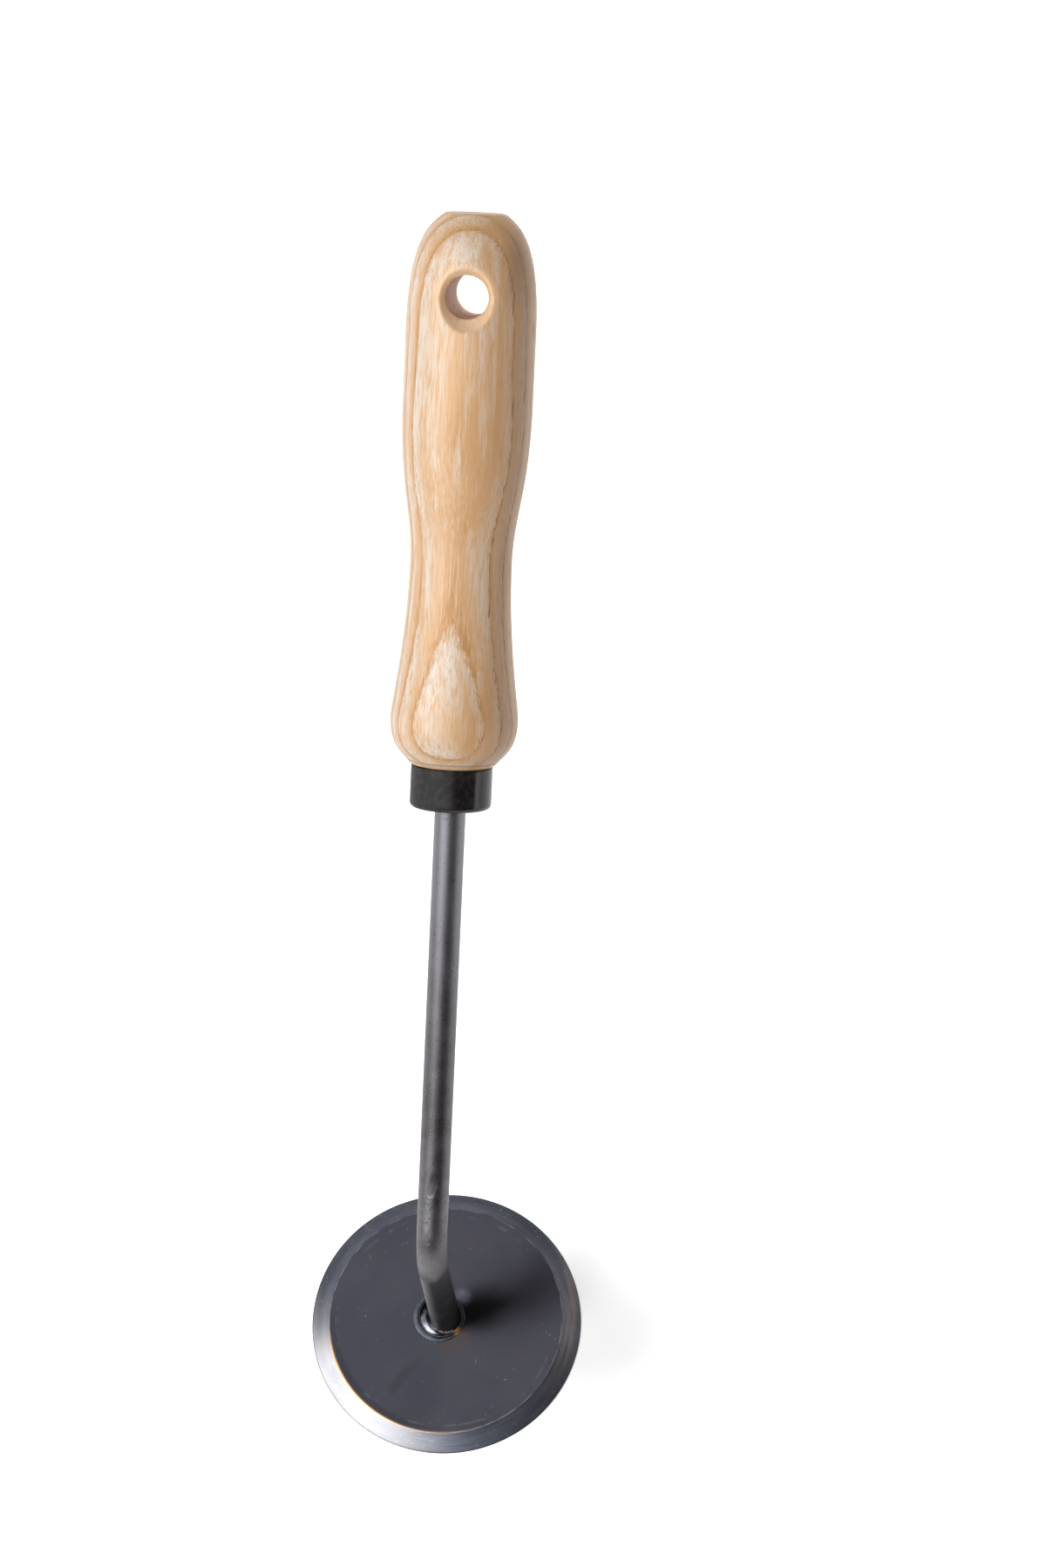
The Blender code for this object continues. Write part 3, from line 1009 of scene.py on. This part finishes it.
def shank_steel(settings):
    """Drawn bar with dull mill scale, fine pits and the marks of the bending jig, with painted
    highlights and painted shade.
    """
    material, tree, shader = new_material("shank_steel")
    spot = object_spot(tree)
    x, _, z = split(spot)
    grain = mottle(spot, 2600.0, detail=5.0, roughness=0.6)
    cloud = mottle(spot, 150.0, detail=4.0, roughness=0.55)
    pits = mottle(spot, 1300.0, detail=2.0)
    wavy = slope(x, -0.8, slope(mottle(spot, 520.0), 0.0050, z))
    heat = grade(wavy, 0.0515, 0.0490)
    # Painted highlight: a light strip along the left of the rod's foot, below the heat's edge
    painted_lit_strip = times(grade(slope(grain, 0.0012, x), 0.0004, -0.0038), heat, grade(z, 0.004, 0.020))
    light = settings.light
    dark = settings.dark
    # Soot, darker towards the right as painted shade
    soot_and_shade = tint(grade(x, -0.0020, 0.0030), blend(dark, BLACK, 0.48), blend(dark, BLACK, 0.88))
    shade = coats(
        tint(grade(cloud, 0.32, 0.68), dark, light),
        # Painted highlight: cooler and brighter up towards the handle, with a speckle all over
        (blend(light, (0.98, 1.0, 1.12), 0.13), grade(z, 0.075, 0.125), 0.8),
        (blend(light, WHITE, 0.07), grade(grain, 0.40, 0.72), 0.55),
        # Painted highlight in and below the bend
        (
            blend(light, WHITE, 0.16),
            grade(z, 0.080, 0.062, 0.0, 0.24),
            grade(cloud, 0.36, 0.60, 0.45, 1.0),
        ),
        # Soot up to the heat's edge, darker at the right as painted shade, not on the painted lit
        # strip
        (soot_and_shade, heat, grade(cloud, 0.36, 0.52, 0.55, 0.92), calculate("SUBTRACT", 1.0, painted_lit_strip)),
        # Painted shade at the right below the bend
        (blend(dark, BLACK, 0.35), grade(x, -0.0002, 0.0032, 0.0, 0.55), grade(z, 0.066, 0.055)),
        # Pits, the jig's scars and the painted highlight strip at the left
        ((0.05, 0.047, 0.047), grade(pits, 0.37, 0.30), 0.5),
        ((0.30, 0.30, 0.32), mask(tree, "scar"), grade(grain, 0.48, 0.60)),
        ((0.37, 0.35, 0.375), painted_lit_strip, 0.9),
    )
    feed(shader.inputs["Metallic"], grade(painted_lit_strip, 0.0, 1.0, 1.0, 0.25))
    rough = slope(grain, 0.10, slope(cloud, 0.12, 0.36))
    finish_material(shader, shade, rough, (grain, 0.00004, 0.9), (pits, 0.00006, 0.4))
    return material


def rod_path(settings, foot):
    """Centre line of the rod as (y, z) points with a share of the rod's radius at each."""
    turned = math.pi / 2.0 - HANDLE_RISE
    leave = settings.bend_radius * math.tan(turned / 2.0)
    centre = (settings.bend_radius, BEND_HEIGHT - leave)
    line = [(0.0, foot + (centre[1] - foot) * step / STUB_STEPS) for step in range(STUB_STEPS)]
    line += arc(centre, settings.bend_radius, math.pi, math.pi - turned, BEND_STEPS)
    tip = ROD_TO_FERRULE + settings.tang_length
    point = tip - settings.point_length
    reaches = [leave + (point - leave) * step / LEG_STEPS for step in range(1, LEG_STEPS + 1)]
    for reach in reaches + [tip]:
        line.append((math.cos(HANDLE_RISE) * reach, BEND_HEIGHT + math.sin(HANDLE_RISE) * reach))
    shares = [1.0] * (len(line) - 1) + [settings.tip_diameter / settings.diameter]
    return [(y, z, share) for (y, z), share in zip(line, shares)]


def mark_rod(mesh, radius):
    """Press the bending jig's marks into the bar's upper side, and store where they are."""
    axes = np.array(HANDLE_LINE.to_3x3())
    home = axes.T @ np.array(HANDLE_LINE.translation)
    corners = read_corners(mesh)
    line = corners @ axes - home
    reach = line[:, 2]
    angle = np.degrees(np.arctan2(line[:, 0], -line[:, 1]))
    on_side = np.hypot(line[:, 0], line[:, 1]) > radius * 0.8
    flat = fade(reach, 0.0165, 0.0180) * fade(reach, 0.0245, 0.0210)
    flat *= fade(np.abs(angle + 6.0 - (reach - 0.018) * 3500.0), 24.0, 6.0)
    rough = fade(reach, 0.0030, 0.0050) * fade(reach, 0.0180, 0.0172)
    rough *= fade(np.abs(angle + 12.0), 17.0, 7.0)
    tick = fade(np.abs(reach - 0.0174), 0.0005, 0.0001) * fade(np.abs(angle + 5.0), 12.0, 6.0)
    nick = fade(np.abs(reach - 0.0046), 0.0004, 0.0001) * fade(np.abs(angle + 13.0), 13.0, 6.0)
    bumps = np.array([noise.noise(Vector(corner) * 1500.0) for corner in corners])
    depth = JIG_FLAT * flat + (JIG_SCUFF + JIG_SCUFF_RELIEF * bumps) * rough
    outwards = line * (1.0, 1.0, 0.0)
    outwards /= np.maximum(np.linalg.norm(outwards, axis=1), 1e-9)[:, None]
    line -= outwards * np.where(on_side, depth, 0.0)[:, None]
    set_corners(mesh, (line + home) @ axes.T)
    marks = np.clip(tick + 0.8 * nick + 0.35 * rough, 0.0, 1.0)
    keep_mask(mesh, "scar", np.where(on_side, marks, 0.0))


class MakeShank(bpy.types.Operator):
    """Make the bent rod, from the blade to its point inside the handle"""

    bl_idname = "disc_weeder.make_shank"
    bl_label = "Shank"

    def execute(self, context):
        settings = context.scene.disc_weeder_shank
        material = shank_steel(settings)
        points = rod_path(settings, context.scene.disc_weeder_blade.thickness + SEAT)
        curve = bpy.data.curves.new("rod_line", "CURVE")
        curve.dimensions = "3D"
        line = curve.splines.new("POLY")
        line.points.add(len(points) - 1)
        for point, (y, z, share) in zip(line.points, points):
            point.co = (0.0, y, z, 1.0)
            point.radius = share
        values = {"Sides": settings.sides, "Diameter": settings.diameter, "Finish": material}
        mesh = run_tree("bent_shank", curve, "sweep_bar", sweeping_tree, values)
        close_up(mesh)
        mark_rod(mesh, settings.diameter / 2.0)
        add_piece("bent_shank", mesh, material, "shank")
        return {"FINISHED"}


# Ferrule


def black_lacquer(settings):
    """Stoved black lacquer with faint waves and dust, rubbed duller at its left."""
    material, tree, shader = new_material("black_lacquer")
    spot = object_spot(tree)
    x = split(spot)[0]
    cloud = mottle(spot, 620.0, detail=4.0)
    peel = mottle(spot, 1500.0, detail=2.0)
    dust = mottle(spot, 4200.0, detail=1.0)
    hazy = blend(settings.lacquer, (1.0, 0.86, 0.92), 0.02)
    shade = coats(
        tint(grade(cloud, 0.40, 0.75), settings.lacquer, hazy),
        ((0.32, 0.30, 0.28), grade(dust, 0.74, 0.80), 0.35),
    )
    shader.inputs["IOR"].default_value = 1.46
    shader.inputs["Specular IOR Level"].default_value = 0.40
    rough = slope(cloud, 0.06, grade(x, 0.0045, -0.0015, 0.11, 0.56))
    finish_material(shader, shade, rough, (peel, 0.00002, 0.4))
    return material


def ferrule_outline(settings, rod):
    """Closed outline of the cup's wall, from its mouth down the outside and up the inside."""
    outside = settings.diameter / 2.0
    inside = outside - settings.wall
    corner = settings.corner
    inner = max(corner - settings.wall, 0.0003)
    hole = rod / 2.0 + SEAT
    quarter = math.pi / 2.0
    mouth = settings.cup_length
    # Points beside the roundings keep the flat parts flat
    outline = [(inside, mouth - 0.0006)]
    outline += soften((inside, 0.0), (inside, mouth), (outside, mouth), CUP_MOUTH_INSIDE, 4)
    outline += soften((inside, mouth), (outside, mouth), (outside, 0.0), CUP_MOUTH_OUTSIDE, 5)
    outline += [(outside, mouth - 0.0007), (outside, mouth * 0.5), (outside, corner + 0.0004)]
    outline += arc((outside - corner, corner), corner, 0.0, -quarter, 12)
    outline += [(outside - corner - 0.0004, 0.0), (hole + 0.0006, 0.0)]
    outline += soften((outside, 0.0), (hole, 0.0), (hole, settings.wall), CUP_HOLE_EASE, 4)
    outline.append((hole, settings.wall))
    outline += arc((inside - inner, settings.wall + inner), inner, -quarter, 0.0, 4)
    outline.append(outline[0])
    return outline


class MakeFerrule(bpy.types.Operator):
    """Make the pressed ferrule over the handle's spigot"""

    bl_idname = "disc_weeder.make_ferrule"
    bl_label = "Ferrule"

    def execute(self, context):
        settings = context.scene.disc_weeder_ferrule
        outline = ferrule_outline(settings, context.scene.disc_weeder_shank.diameter)
        material = black_lacquer(settings)
        raised = [(radius, height + ROD_TO_FERRULE) for radius, height in outline]
        mesh = turn("pressed_ferrule", raised, settings.sides, material)
        mesh.transform(HANDLE_LINE)
        add_piece("pressed_ferrule", mesh, material, "ferrule")
        return {"FINISHED"}


# Handle


def place_in_ring(settings, local, waves):
    """Place within a growth ring, from 0 at its start to 1 at its end."""
    x, y, z = split(local)
    first = settings.first_ring
    lift = grade(z, 0.180, 0.245, first, first + 0.0016)
    bow = times(x, x, 1.0 / 0.36)
    depth = calculate("SUBTRACT", calculate("ADD", y, lift), bow)
    crown = grade(y, -0.0124, -0.0158, 0.0, 0.0021)
    crown = times(crown, grade(z, 0.178, 0.192))
    depth = calculate("ADD", depth, crown)
    ring = calculate("DIVIDE", depth, settings.ring_spacing)
    for wave, strength in waves:
        ring = slope(calculate("SUBTRACT", wave, 0.5), strength, ring)
    return calculate("FRACT", ring)


def ash_wood(settings):
    """Oiled ash: growth rings that lie flat to the handle's upper side, pores and fibres, with painted
    shade at its right and a painted shadow line above the ferrule.
    """
    material, tree, shader = new_material("ash_wood")
    local = on_handle_line(object_spot(tree))
    x, _, z = split(local)
    long_fibre = fibre(local, 2100.0, 60.0)
    short_fibre = fibre(local, 2600.0, 300.0)
    drift = fibre(local, 45.0, 15.0, detail=2.0)
    blotch = fibre(local, 300.0, 30.0, detail=4.0, roughness=0.6)
    figure = fibre(local, 1200.0, 150.0, roughness=0.55)
    spikes = fibre(local, 4200.0, 110.0, detail=1.0)
    lines = fibre(local, 3400.0, 120.0, detail=2.0)
    vessels = fibre(local, 3600.0, 230.0, detail=1.0)
    waves = ((drift, 0.50), (long_fibre, 0.14), (short_fibre, 0.16), (spikes, 0.26))
    within = place_in_ring(settings, local, waves)
    pale = settings.pale
    tan = settings.tan
    amber = settings.amber
    pore = settings.pore
    stops = (
        (0.00, amber),
        (0.08, amber),
        (0.15, blend(amber, tan, 0.60)),
        (0.25, blend(tan, pale, 0.10)),
        (0.46, blend(tan, pale, 0.60)),
        (0.68, blend(tan, pale, 0.95)),
        (0.93, pale),
        (0.985, blend(pale, tan, 0.45)),
        (1.00, blend(amber, tan, 0.25)),
    )
    shade = coats(
        ramp(within, stops),
        # Streaks, cream patches, flecks, lines and threads along the grain
        (tan, grade(blotch, 0.47, 0.66), 0.70),
        (pale, grade(blotch, 0.47, 0.34), 0.64),
        (blend(tan, amber, 0.08), grade(figure, 0.49, 0.64), 0.72),
        (blend(tan, amber, 0.55), grade(lines, 0.53, 0.67), 0.55),
        (blend(tan, pale, 0.10), grade(short_fibre, 0.50, 0.68), 0.26),
        (blend(pale, WHITE, 0.25), grade(long_fibre, 0.56, 0.72), 0.30),
        # A speckled line where one ring ends and the next begins
        (amber, grade(within, 0.10, 0.03), grade(vessels, 0.40, 0.54), 0.8),
    )
    open_pore = times(
        grade(vessels, 0.57, 0.66),
        grade(within, 0.80, 0.98, 0.16, 1.0),
        grade(within, 1.0, 0.985, 0.5, 1.0),
    )
    on_swells = most(grade(z, 0.190, 0.215), grade(z, 0.160, 0.144))
    beside = times(grade(x, 0.0015, 0.0050), grade(x, 0.0125, 0.0085))
    at_top = grade(z, 0.2560, 0.2660, 0.0, 0.14)
    warm = most(times(beside, on_swells), at_top)
    # Quarter grain, full at the right and weaker at the left, so it also paints shade at the right
    quarter = mask(tree, "quarter")
    # Painted shade: seams and pores show more towards the right
    painted_shade_side = grade(x, -0.004, 0.004, 0.35, 1.0)
    ring_ends = most(grade(within, 0.09, 0.02), grade(within, 0.94, 0.99))
    seam = times(ring_ends, grade(quarter, 0.35, 0.75), grade(vessels, 0.42, 0.60, 0.15, 0.85), painted_shade_side)
    pores = times(open_pore, grade(quarter, 0.2, 0.8, 0.62, 1.0), painted_shade_side)
    pore_shade = tint(grade(quarter, 0.25, 0.60), blend(amber, pore, 0.25), pore)
    bore = mask(tree, "bore")
    dark = times(mask(tree, "end_grain"), 0.28)
    above = calculate("SUBTRACT", z, ROD_TO_FERRULE + FERRULE_CUP)
    shade = coats(
        shade,
        # Warmer at the right of the swells' upper sides
        (blend(tan, amber, 0.35), warm, grade(blotch, 0.36, 0.58, 0.25, 0.85)),
        # Browner on its quarters, most at its right as painted shade, and painted shade at the butt's
        # right shoulder
        (blend(tan, pore, 0.12), grade(quarter, 0.25, 0.80, 0.0, 0.58)),
        (blend(tan, pore, 0.55), grade(x, 0.0085, 0.0118), grade(z, 0.243, 0.259, 0.0, 0.70)),
        # Open pores, and dark seams where rings come out, stronger at the right as painted shade
        (pore_shade, most(pores, seam)),
        # The butt's end grain, and the cut wood in and round the hanging hole
        (blend(tan, amber, 0.30), dark),
        (settings.cut, mask(tree, "flare"), 0.60),
        (blend(amber, tan, 0.70), bore, 0.20),
        (pore, bore, grade(figure, 0.46, 0.62, 0.0, 0.42)),
        # The handle's foot beside the ferrule, with a fine painted shadow line above it
        (tan, grade(above, 0.0014, 0.0009, 0.0, 0.6)),
        (pore, grade(apart(above, 0.0015), 0.0004, 0.0001, 0.0, 0.55)),
    )
    shader.inputs["IOR"].default_value = 1.46
    shader.inputs["Specular IOR Level"].default_value = 0.6
    rough = slope(dark, 0.25, slope(long_fibre, 0.16, 0.32))
    finish_material(
        shader,
        shade,
        slope(bore, 0.14, rough),
        (calculate("SUBTRACT", 1.0, open_pore), 0.00012, 0.5),
        (long_fibre, 0.00005, 0.35),
    )
    return material


def curve_between(start, leave, reach, end):
    """Points of one smooth stretch of the handle's outline, without its first point."""
    ends = [Vector((radius, height, 0.0)) for radius, height in (start, leave, reach, end)]
    points = interpolate_bezier(*ends, STRETCH_POINTS)
    return [(point.x, point.y) for point in points[1:]]


def level(knot, other, share):
    """A place as far out as one knot of the outline, part of the way along to another."""
    return (knot[0], knot[1] + (other[1] - knot[1]) * share)


def handle_outline(settings):
    """Outline of the visible handle from the ferrule's mouth to the butt, as (radius, height)."""
    mouth = (settings.mouth / 2.0, 0.0)
    swell = (settings.swell / 2.0, settings.swell_at)
    waist = (settings.waist / 2.0, settings.waist_at)
    grip_top = (settings.grip / 2.0, settings.handle_length - settings.grip_from_butt)
    grip = (settings.grip / 2.0, grip_top[1] - settings.grip_length)
    butt = (settings.butt / 2.0, settings.handle_length)
    out_of_mouth = (
        mouth[0] + (swell[0] - mouth[0]) * LEAVE_MOUTH_OUT,
        mouth[1] + (swell[1] - mouth[1]) * LEAVE_MOUTH_ALONG,
    )
    into_butt = (
        butt[0] + (grip_top[0] - butt[0]) * REACH_BUTT_OUT,
        butt[1] - (butt[1] - grip_top[1]) * REACH_BUTT_ALONG,
    )
    out_of_swell = level(swell, waist, LEAVE_SWELL)
    out_of_waist = level(waist, grip, LEAVE_WAIST)
    outline = [mouth]
    outline += curve_between(mouth, out_of_mouth, level(swell, mouth, REACH_SWELL), swell)
    outline += curve_between(swell, out_of_swell, level(waist, swell, REACH_WAIST), waist)
    outline += curve_between(waist, out_of_waist, level(grip, waist, REACH_GRIP), grip)
    outline.append(grip_top)
    outline += curve_between(grip_top, level(grip_top, butt, LEAVE_GRIP), into_butt, butt)
    return outline


def closed_handle_outline(settings, ferrule, shank):
    """Whole outline of the handle: the tang's bore, the spigot, the outside and the butt."""
    bore = shank.diameter / 2.0 + TANG_PLAY
    tip = shank.tang_length + TANG_PLAY
    point = shank.tang_length - shank.point_length
    spigot = ferrule.diameter / 2.0 - ferrule.wall - SEAT
    foot = ferrule.wall + TANG_PLAY
    shoulder = ferrule.cup_length + MOUTH_SEAM
    outline = [(0.0, tip), (shank.tip_diameter / 2.0 + TANG_PLAY, tip), (bore, point), (bore, foot)]
    outline += [(spigot - SPIGOT_CHAMFER, foot), (spigot, foot + SPIGOT_CHAMFER), (spigot, shoulder)]
    place = ferrule.cup_length + settings.handle_length - settings.hole_from_butt
    around = settings.hole / 2.0 + settings.countersink + NEAR_HOLE

    def step_at(height):
        return STEP_AT_HOLE if abs(height - place) < around else STEP_ELSEWHERE

    visible = [(radius, ferrule.cup_length + height) for radius, height in handle_outline(settings)]
    up_the_swell = visible[STRETCH_POINTS // 10]
    brim = (settings.mouth / 2.0, shoulder)
    lip = soften((spigot, shoulder), brim, up_the_swell, LIP_ROUND, 4)
    after_lip = [point for point in visible if point[1] > lip[-1][1] + ROUND_GAP]
    butt = visible[-1]
    before_round = [p for p in after_lip if math.dist(p, butt) > BUTT_ROUND + ROUND_GAP]
    rounding = soften(before_round[-1], butt, (0.0, butt[1]), BUTT_ROUND, 6)
    outline += lip + respace(before_round, step_at) + rounding
    outline += [(butt[0] * share, butt[1]) for share in (0.85, 0.6, 0.35, 0.0)]
    return [(radius, height + ROD_TO_FERRULE) for radius, height in outline]


def flare_hole(mesh, settings, place, radius_there):
    """Press the countersinks into the handle's two faces, with a rounded brim."""
    corners = read_corners(mesh)
    away = np.hypot(corners[:, 0], corners[:, 2] - place)
    start = radius_there - settings.countersink
    cone = start + np.maximum(away - settings.hole / 2.0, -FLARE_IN_BORE)
    height = np.abs(corners[:, 1])
    gap = np.clip(BRIM_EASE - np.abs(height - cone), 0.0, None) / BRIM_EASE
    eased = np.minimum(height, cone) - gap**3 * BRIM_EASE / 6.0
    outer = np.hypot(corners[:, 0], corners[:, 1]) > radius_there * 0.75
    sign = np.where(corners[:, 1] < 0.0, -1.0, 1.0)
    corners[:, 1] = np.where((away < FLARE_REACH) & outer, sign * eased, corners[:, 1])
    set_corners(mesh, corners)


def bore_hole(mesh, settings, place):
    """Drill the hanging hole through the handle."""
    shape = bmesh.new()
    bmesh.ops.create_cone(
        shape,
        cap_ends=True,
        segments=BORE_SIDES,
        radius1=settings.hole / 2.0,
        radius2=settings.hole / 2.0,
        depth=DRILL_LENGTH,
        matrix=Matrix.Translation((0.0, 0.0, place)) @ Matrix.Rotation(math.pi / 2.0, 4, "X"),
    )
    drill_mesh = bpy.data.meshes.new("drill")
    shape.to_mesh(drill_mesh)
    shape.free()
    drill = add_object("drill", drill_mesh)
    blank = add_object("handle_blank", mesh)
    cut = blank.modifiers.new("hanging_hole", "BOOLEAN")
    cut.operation = "DIFFERENCE"
    cut.solver = "EXACT"
    cut.object = drill
    result = settled_mesh(blank)
    bpy.data.objects.remove(drill, do_unlink=True)
    result.name = mesh.name
    close_up(result)
    return result


def mark_handle(mesh, settings, place):
    """Store where the handle is end grain, quarter sawn, bored and countersunk; the quarter mask is
    weaker at the left, which paints shade at the right.
    """
    corners = read_corners(mesh)
    normals = read_corners(mesh, "normal")
    sideways = normals[:, 0]
    away = np.hypot(corners[:, 0], corners[:, 2] - place)
    hole = settings.hole / 2.0
    brim = hole + settings.countersink
    keep_mask(mesh, "end_grain", fade(np.abs(normals[:, 2]), 0.50, 0.95))
    # Weaker at the left than at the right, which paints shade at the right
    keep_mask(mesh, "quarter", np.where(sideways > 0.0, sideways, -0.4 * sideways))
    keep_mask(mesh, "bore", fade(away, hole + 0.0006, hole))
    keep_mask(mesh, "flare", fade(away, brim + 0.0003, brim - 0.0006))


class MakeHandle(bpy.types.Operator):
    """Make the turned ash handle with its hanging hole"""

    bl_idname = "disc_weeder.make_handle"
    bl_label = "Handle"

    def execute(self, context):
        settings = context.scene.disc_weeder_handle
        ferrule = context.scene.disc_weeder_ferrule
        material = ash_wood(settings)
        outline = closed_handle_outline(settings, ferrule, context.scene.disc_weeder_shank)
        mesh = turn("turned_handle", outline, settings.sides, material)
        reach = settings.handle_length - settings.hole_from_butt
        place = ROD_TO_FERRULE + ferrule.cup_length + reach
        profile = np.array(handle_outline(settings))
        radius_there = float(np.interp(reach, profile[:, 1], profile[:, 0]))
        flare_hole(mesh, settings, place, radius_there)
        mesh = bore_hole(mesh, settings, place)
        mark_handle(mesh, settings, place)
        mesh.transform(HANDLE_LINE)
        add_piece("turned_handle", mesh, material, "handle")
        return {"FINISHED"}


# Stage


def floor_paper():
    """White paper that shows as white, keeps the tool's shadow and has a painted shadow by the blade.
    """
    material, tree, shader = new_material("floor_paper")
    tree.nodes.remove(shader)
    rays = tree.nodes.new("ShaderNodeLightPath").outputs
    seen = most(rays["Is Camera Ray"], rays["Is Glossy Ray"], rays["Is Transmission Ray"])
    paper = tree.nodes.new("ShaderNodeBsdfDiffuse")
    paper.inputs["Color"].default_value = (0.62, 0.62, 0.635, 1.0)
    inputs = {"Vector": object_spot(tree), "Location": (0.036, 0.0, 0.0), "Scale": (1.0, 0.68, 1.0)}
    shifted = add_node("ShaderNodeMapping", inputs, vector_type="TEXTURE").outputs["Vector"]
    # Painted shadow: dimmer in a soft patch by the blade's right edge, where the tool's real shadow
    # also falls
    lift = near(shifted, (0.0, 0.0, 0.0), 0.008, 0.060)
    glow = add_node("ShaderNodeEmission", {"Strength": times(seen, slope(lift, 0.56, 0.44))})
    inputs = {0: paper.outputs["BSDF"], 1: glow.outputs["Emission"]}
    both = add_node("ShaderNodeAddShader", inputs)
    feed(tree.nodes["Material Output"].inputs["Surface"], both.outputs["Shader"])
    lay_out(tree)
    return material


def light_room(settings):
    """White behind the tool for the eye and for gloss near the floor, plain grey light else."""
    world = bpy.data.worlds.new("studio")
    bpy.context.scene.world = world
    world.use_nodes = True
    tree = world.node_tree
    rays = tree.nodes.new("ShaderNodeLightPath").outputs
    rise = split(tree.nodes.new("ShaderNodeTexCoord").outputs["Generated"])[2]
    sweep = grade(rise, 0.02, 0.12, 1.0, 0.03)
    grey = grade(rise, 0.0, 0.20, settings.fill, 0.008)
    for_gloss = between(rays["Is Glossy Ray"], grey, sweep)
    clear = most(rays["Is Camera Ray"], rays["Is Transmission Ray"])
    background = tree.nodes["Background"].inputs
    feed(background["Color"], (1.0, 1.0, 1.0, 1.0))
    feed(background["Strength"], between(clear, for_gloss, 1.0))
    lay_out(tree)


def hang_lamp(name, place, size, watts, shade, left_out):
    """A soft rectangular lamp that isn't seen itself, and may leave out one kind of light."""
    light = bpy.data.lights.new(name, "AREA")
    light.shape = "RECTANGLE"
    light.size, light.size_y = size
    light.energy = watts
    light.color = shade
    lamp = add_object(name, light)
    lamp.location = place
    way = Vector(LAMP_AIM) - Vector(place)
    lamp.rotation_euler = way.to_track_quat("-Z", "Y").to_euler()
    lamp.visible_camera = False
    lamp.visible_glossy = left_out != "glossy"
    lamp.visible_diffuse = left_out != "diffuse"


def lay_floor(radius):
    """A round floor just under the tool."""
    shape = bmesh.new()
    bmesh.ops.create_circle(shape, cap_ends=True, segments=96, radius=radius)
    bmesh.ops.translate(shape, verts=shape.verts, vec=(0.0, 0.0, -0.0001))
    mesh = bpy.data.meshes.new("studio_floor")
    shape.to_mesh(mesh)
    shape.free()
    mesh.materials.append(floor_paper())
    add_object("studio_floor", mesh)


def set_camera():
    """Stand the camera where the photograph was taken from."""
    lens = bpy.data.cameras.new("camera")
    lens.lens = CAMERA_LENS
    lens.sensor_width = 36.0
    lens.clip_start = 0.05
    lens.clip_end = 50.0
    camera = add_object("camera", lens)
    camera.location = CAMERA_SPOT
    camera.rotation_euler = Euler(CAMERA_TURN, "XYZ")
    bpy.context.scene.camera = camera


class MakeStage(bpy.types.Operator):
    """Make the floor, the lamps, the room's light and the camera"""

    bl_idname = "disc_weeder.make_stage"
    bl_label = "Stage"

    def execute(self, context):
        settings = context.scene.disc_weeder_stage
        lay_floor(settings.floor_radius)
        light_room(settings)
        for name, place, size, shade, left_out in LAMPS:
            watts = getattr(settings, f"{name}_power")
            hang_lamp(f"{name}_lamp", place, size, watts, shade, left_out)
        set_camera()
        context.scene.view_settings.view_transform = "Standard"
        return {"FINISHED"}


# Panel and registering

GROUPS = (
    ("disc_weeder_blade", BladeSettings, MakeBlade),
    ("disc_weeder_weld", WeldSettings, MakeWeld),
    ("disc_weeder_shank", ShankSettings, MakeShank),
    ("disc_weeder_ferrule", FerruleSettings, MakeFerrule),
    ("disc_weeder_handle", HandleSettings, MakeHandle),
    ("disc_weeder_stage", StageSettings, MakeStage),
)


class DiscWeederPanel(bpy.types.Panel):
    """Lists the pieces of the disc weeder and its stage"""

    bl_idname = "VIEW3D_PT_disc_weeder"
    bl_label = "Disc Weeder"
    bl_space_type = "VIEW_3D"
    bl_region_type = "UI"
    bl_category = "Disc Weeder"

    def draw(self, context):
        for name, settings, operator in GROUPS:
            box = self.layout.box()
            box.operator(operator.bl_idname)
            group = getattr(context.scene, name)
            for field in settings.__annotations__:
                box.prop(group, field)


def register():
    """Register the settings, the operators and the panel."""
    for name, settings, operator in GROUPS:
        bpy.utils.register_class(settings)
        setattr(bpy.types.Scene, name, PointerProperty(type=settings))
        bpy.utils.register_class(operator)
    bpy.utils.register_class(DiscWeederPanel)


def unregister():
    """Take the panel, the operators and the settings out again."""
    bpy.utils.unregister_class(DiscWeederPanel)
    for name, settings, operator in reversed(GROUPS):
        bpy.utils.unregister_class(operator)
        delattr(bpy.types.Scene, name)
        bpy.utils.unregister_class(settings)


def main():
    register()
    bpy.ops.disc_weeder.make_blade()
    bpy.ops.disc_weeder.make_weld()
    bpy.ops.disc_weeder.make_shank()
    bpy.ops.disc_weeder.make_ferrule()
    bpy.ops.disc_weeder.make_handle()
    bpy.ops.disc_weeder.make_stage()


if __name__ == "__main__":
    main()
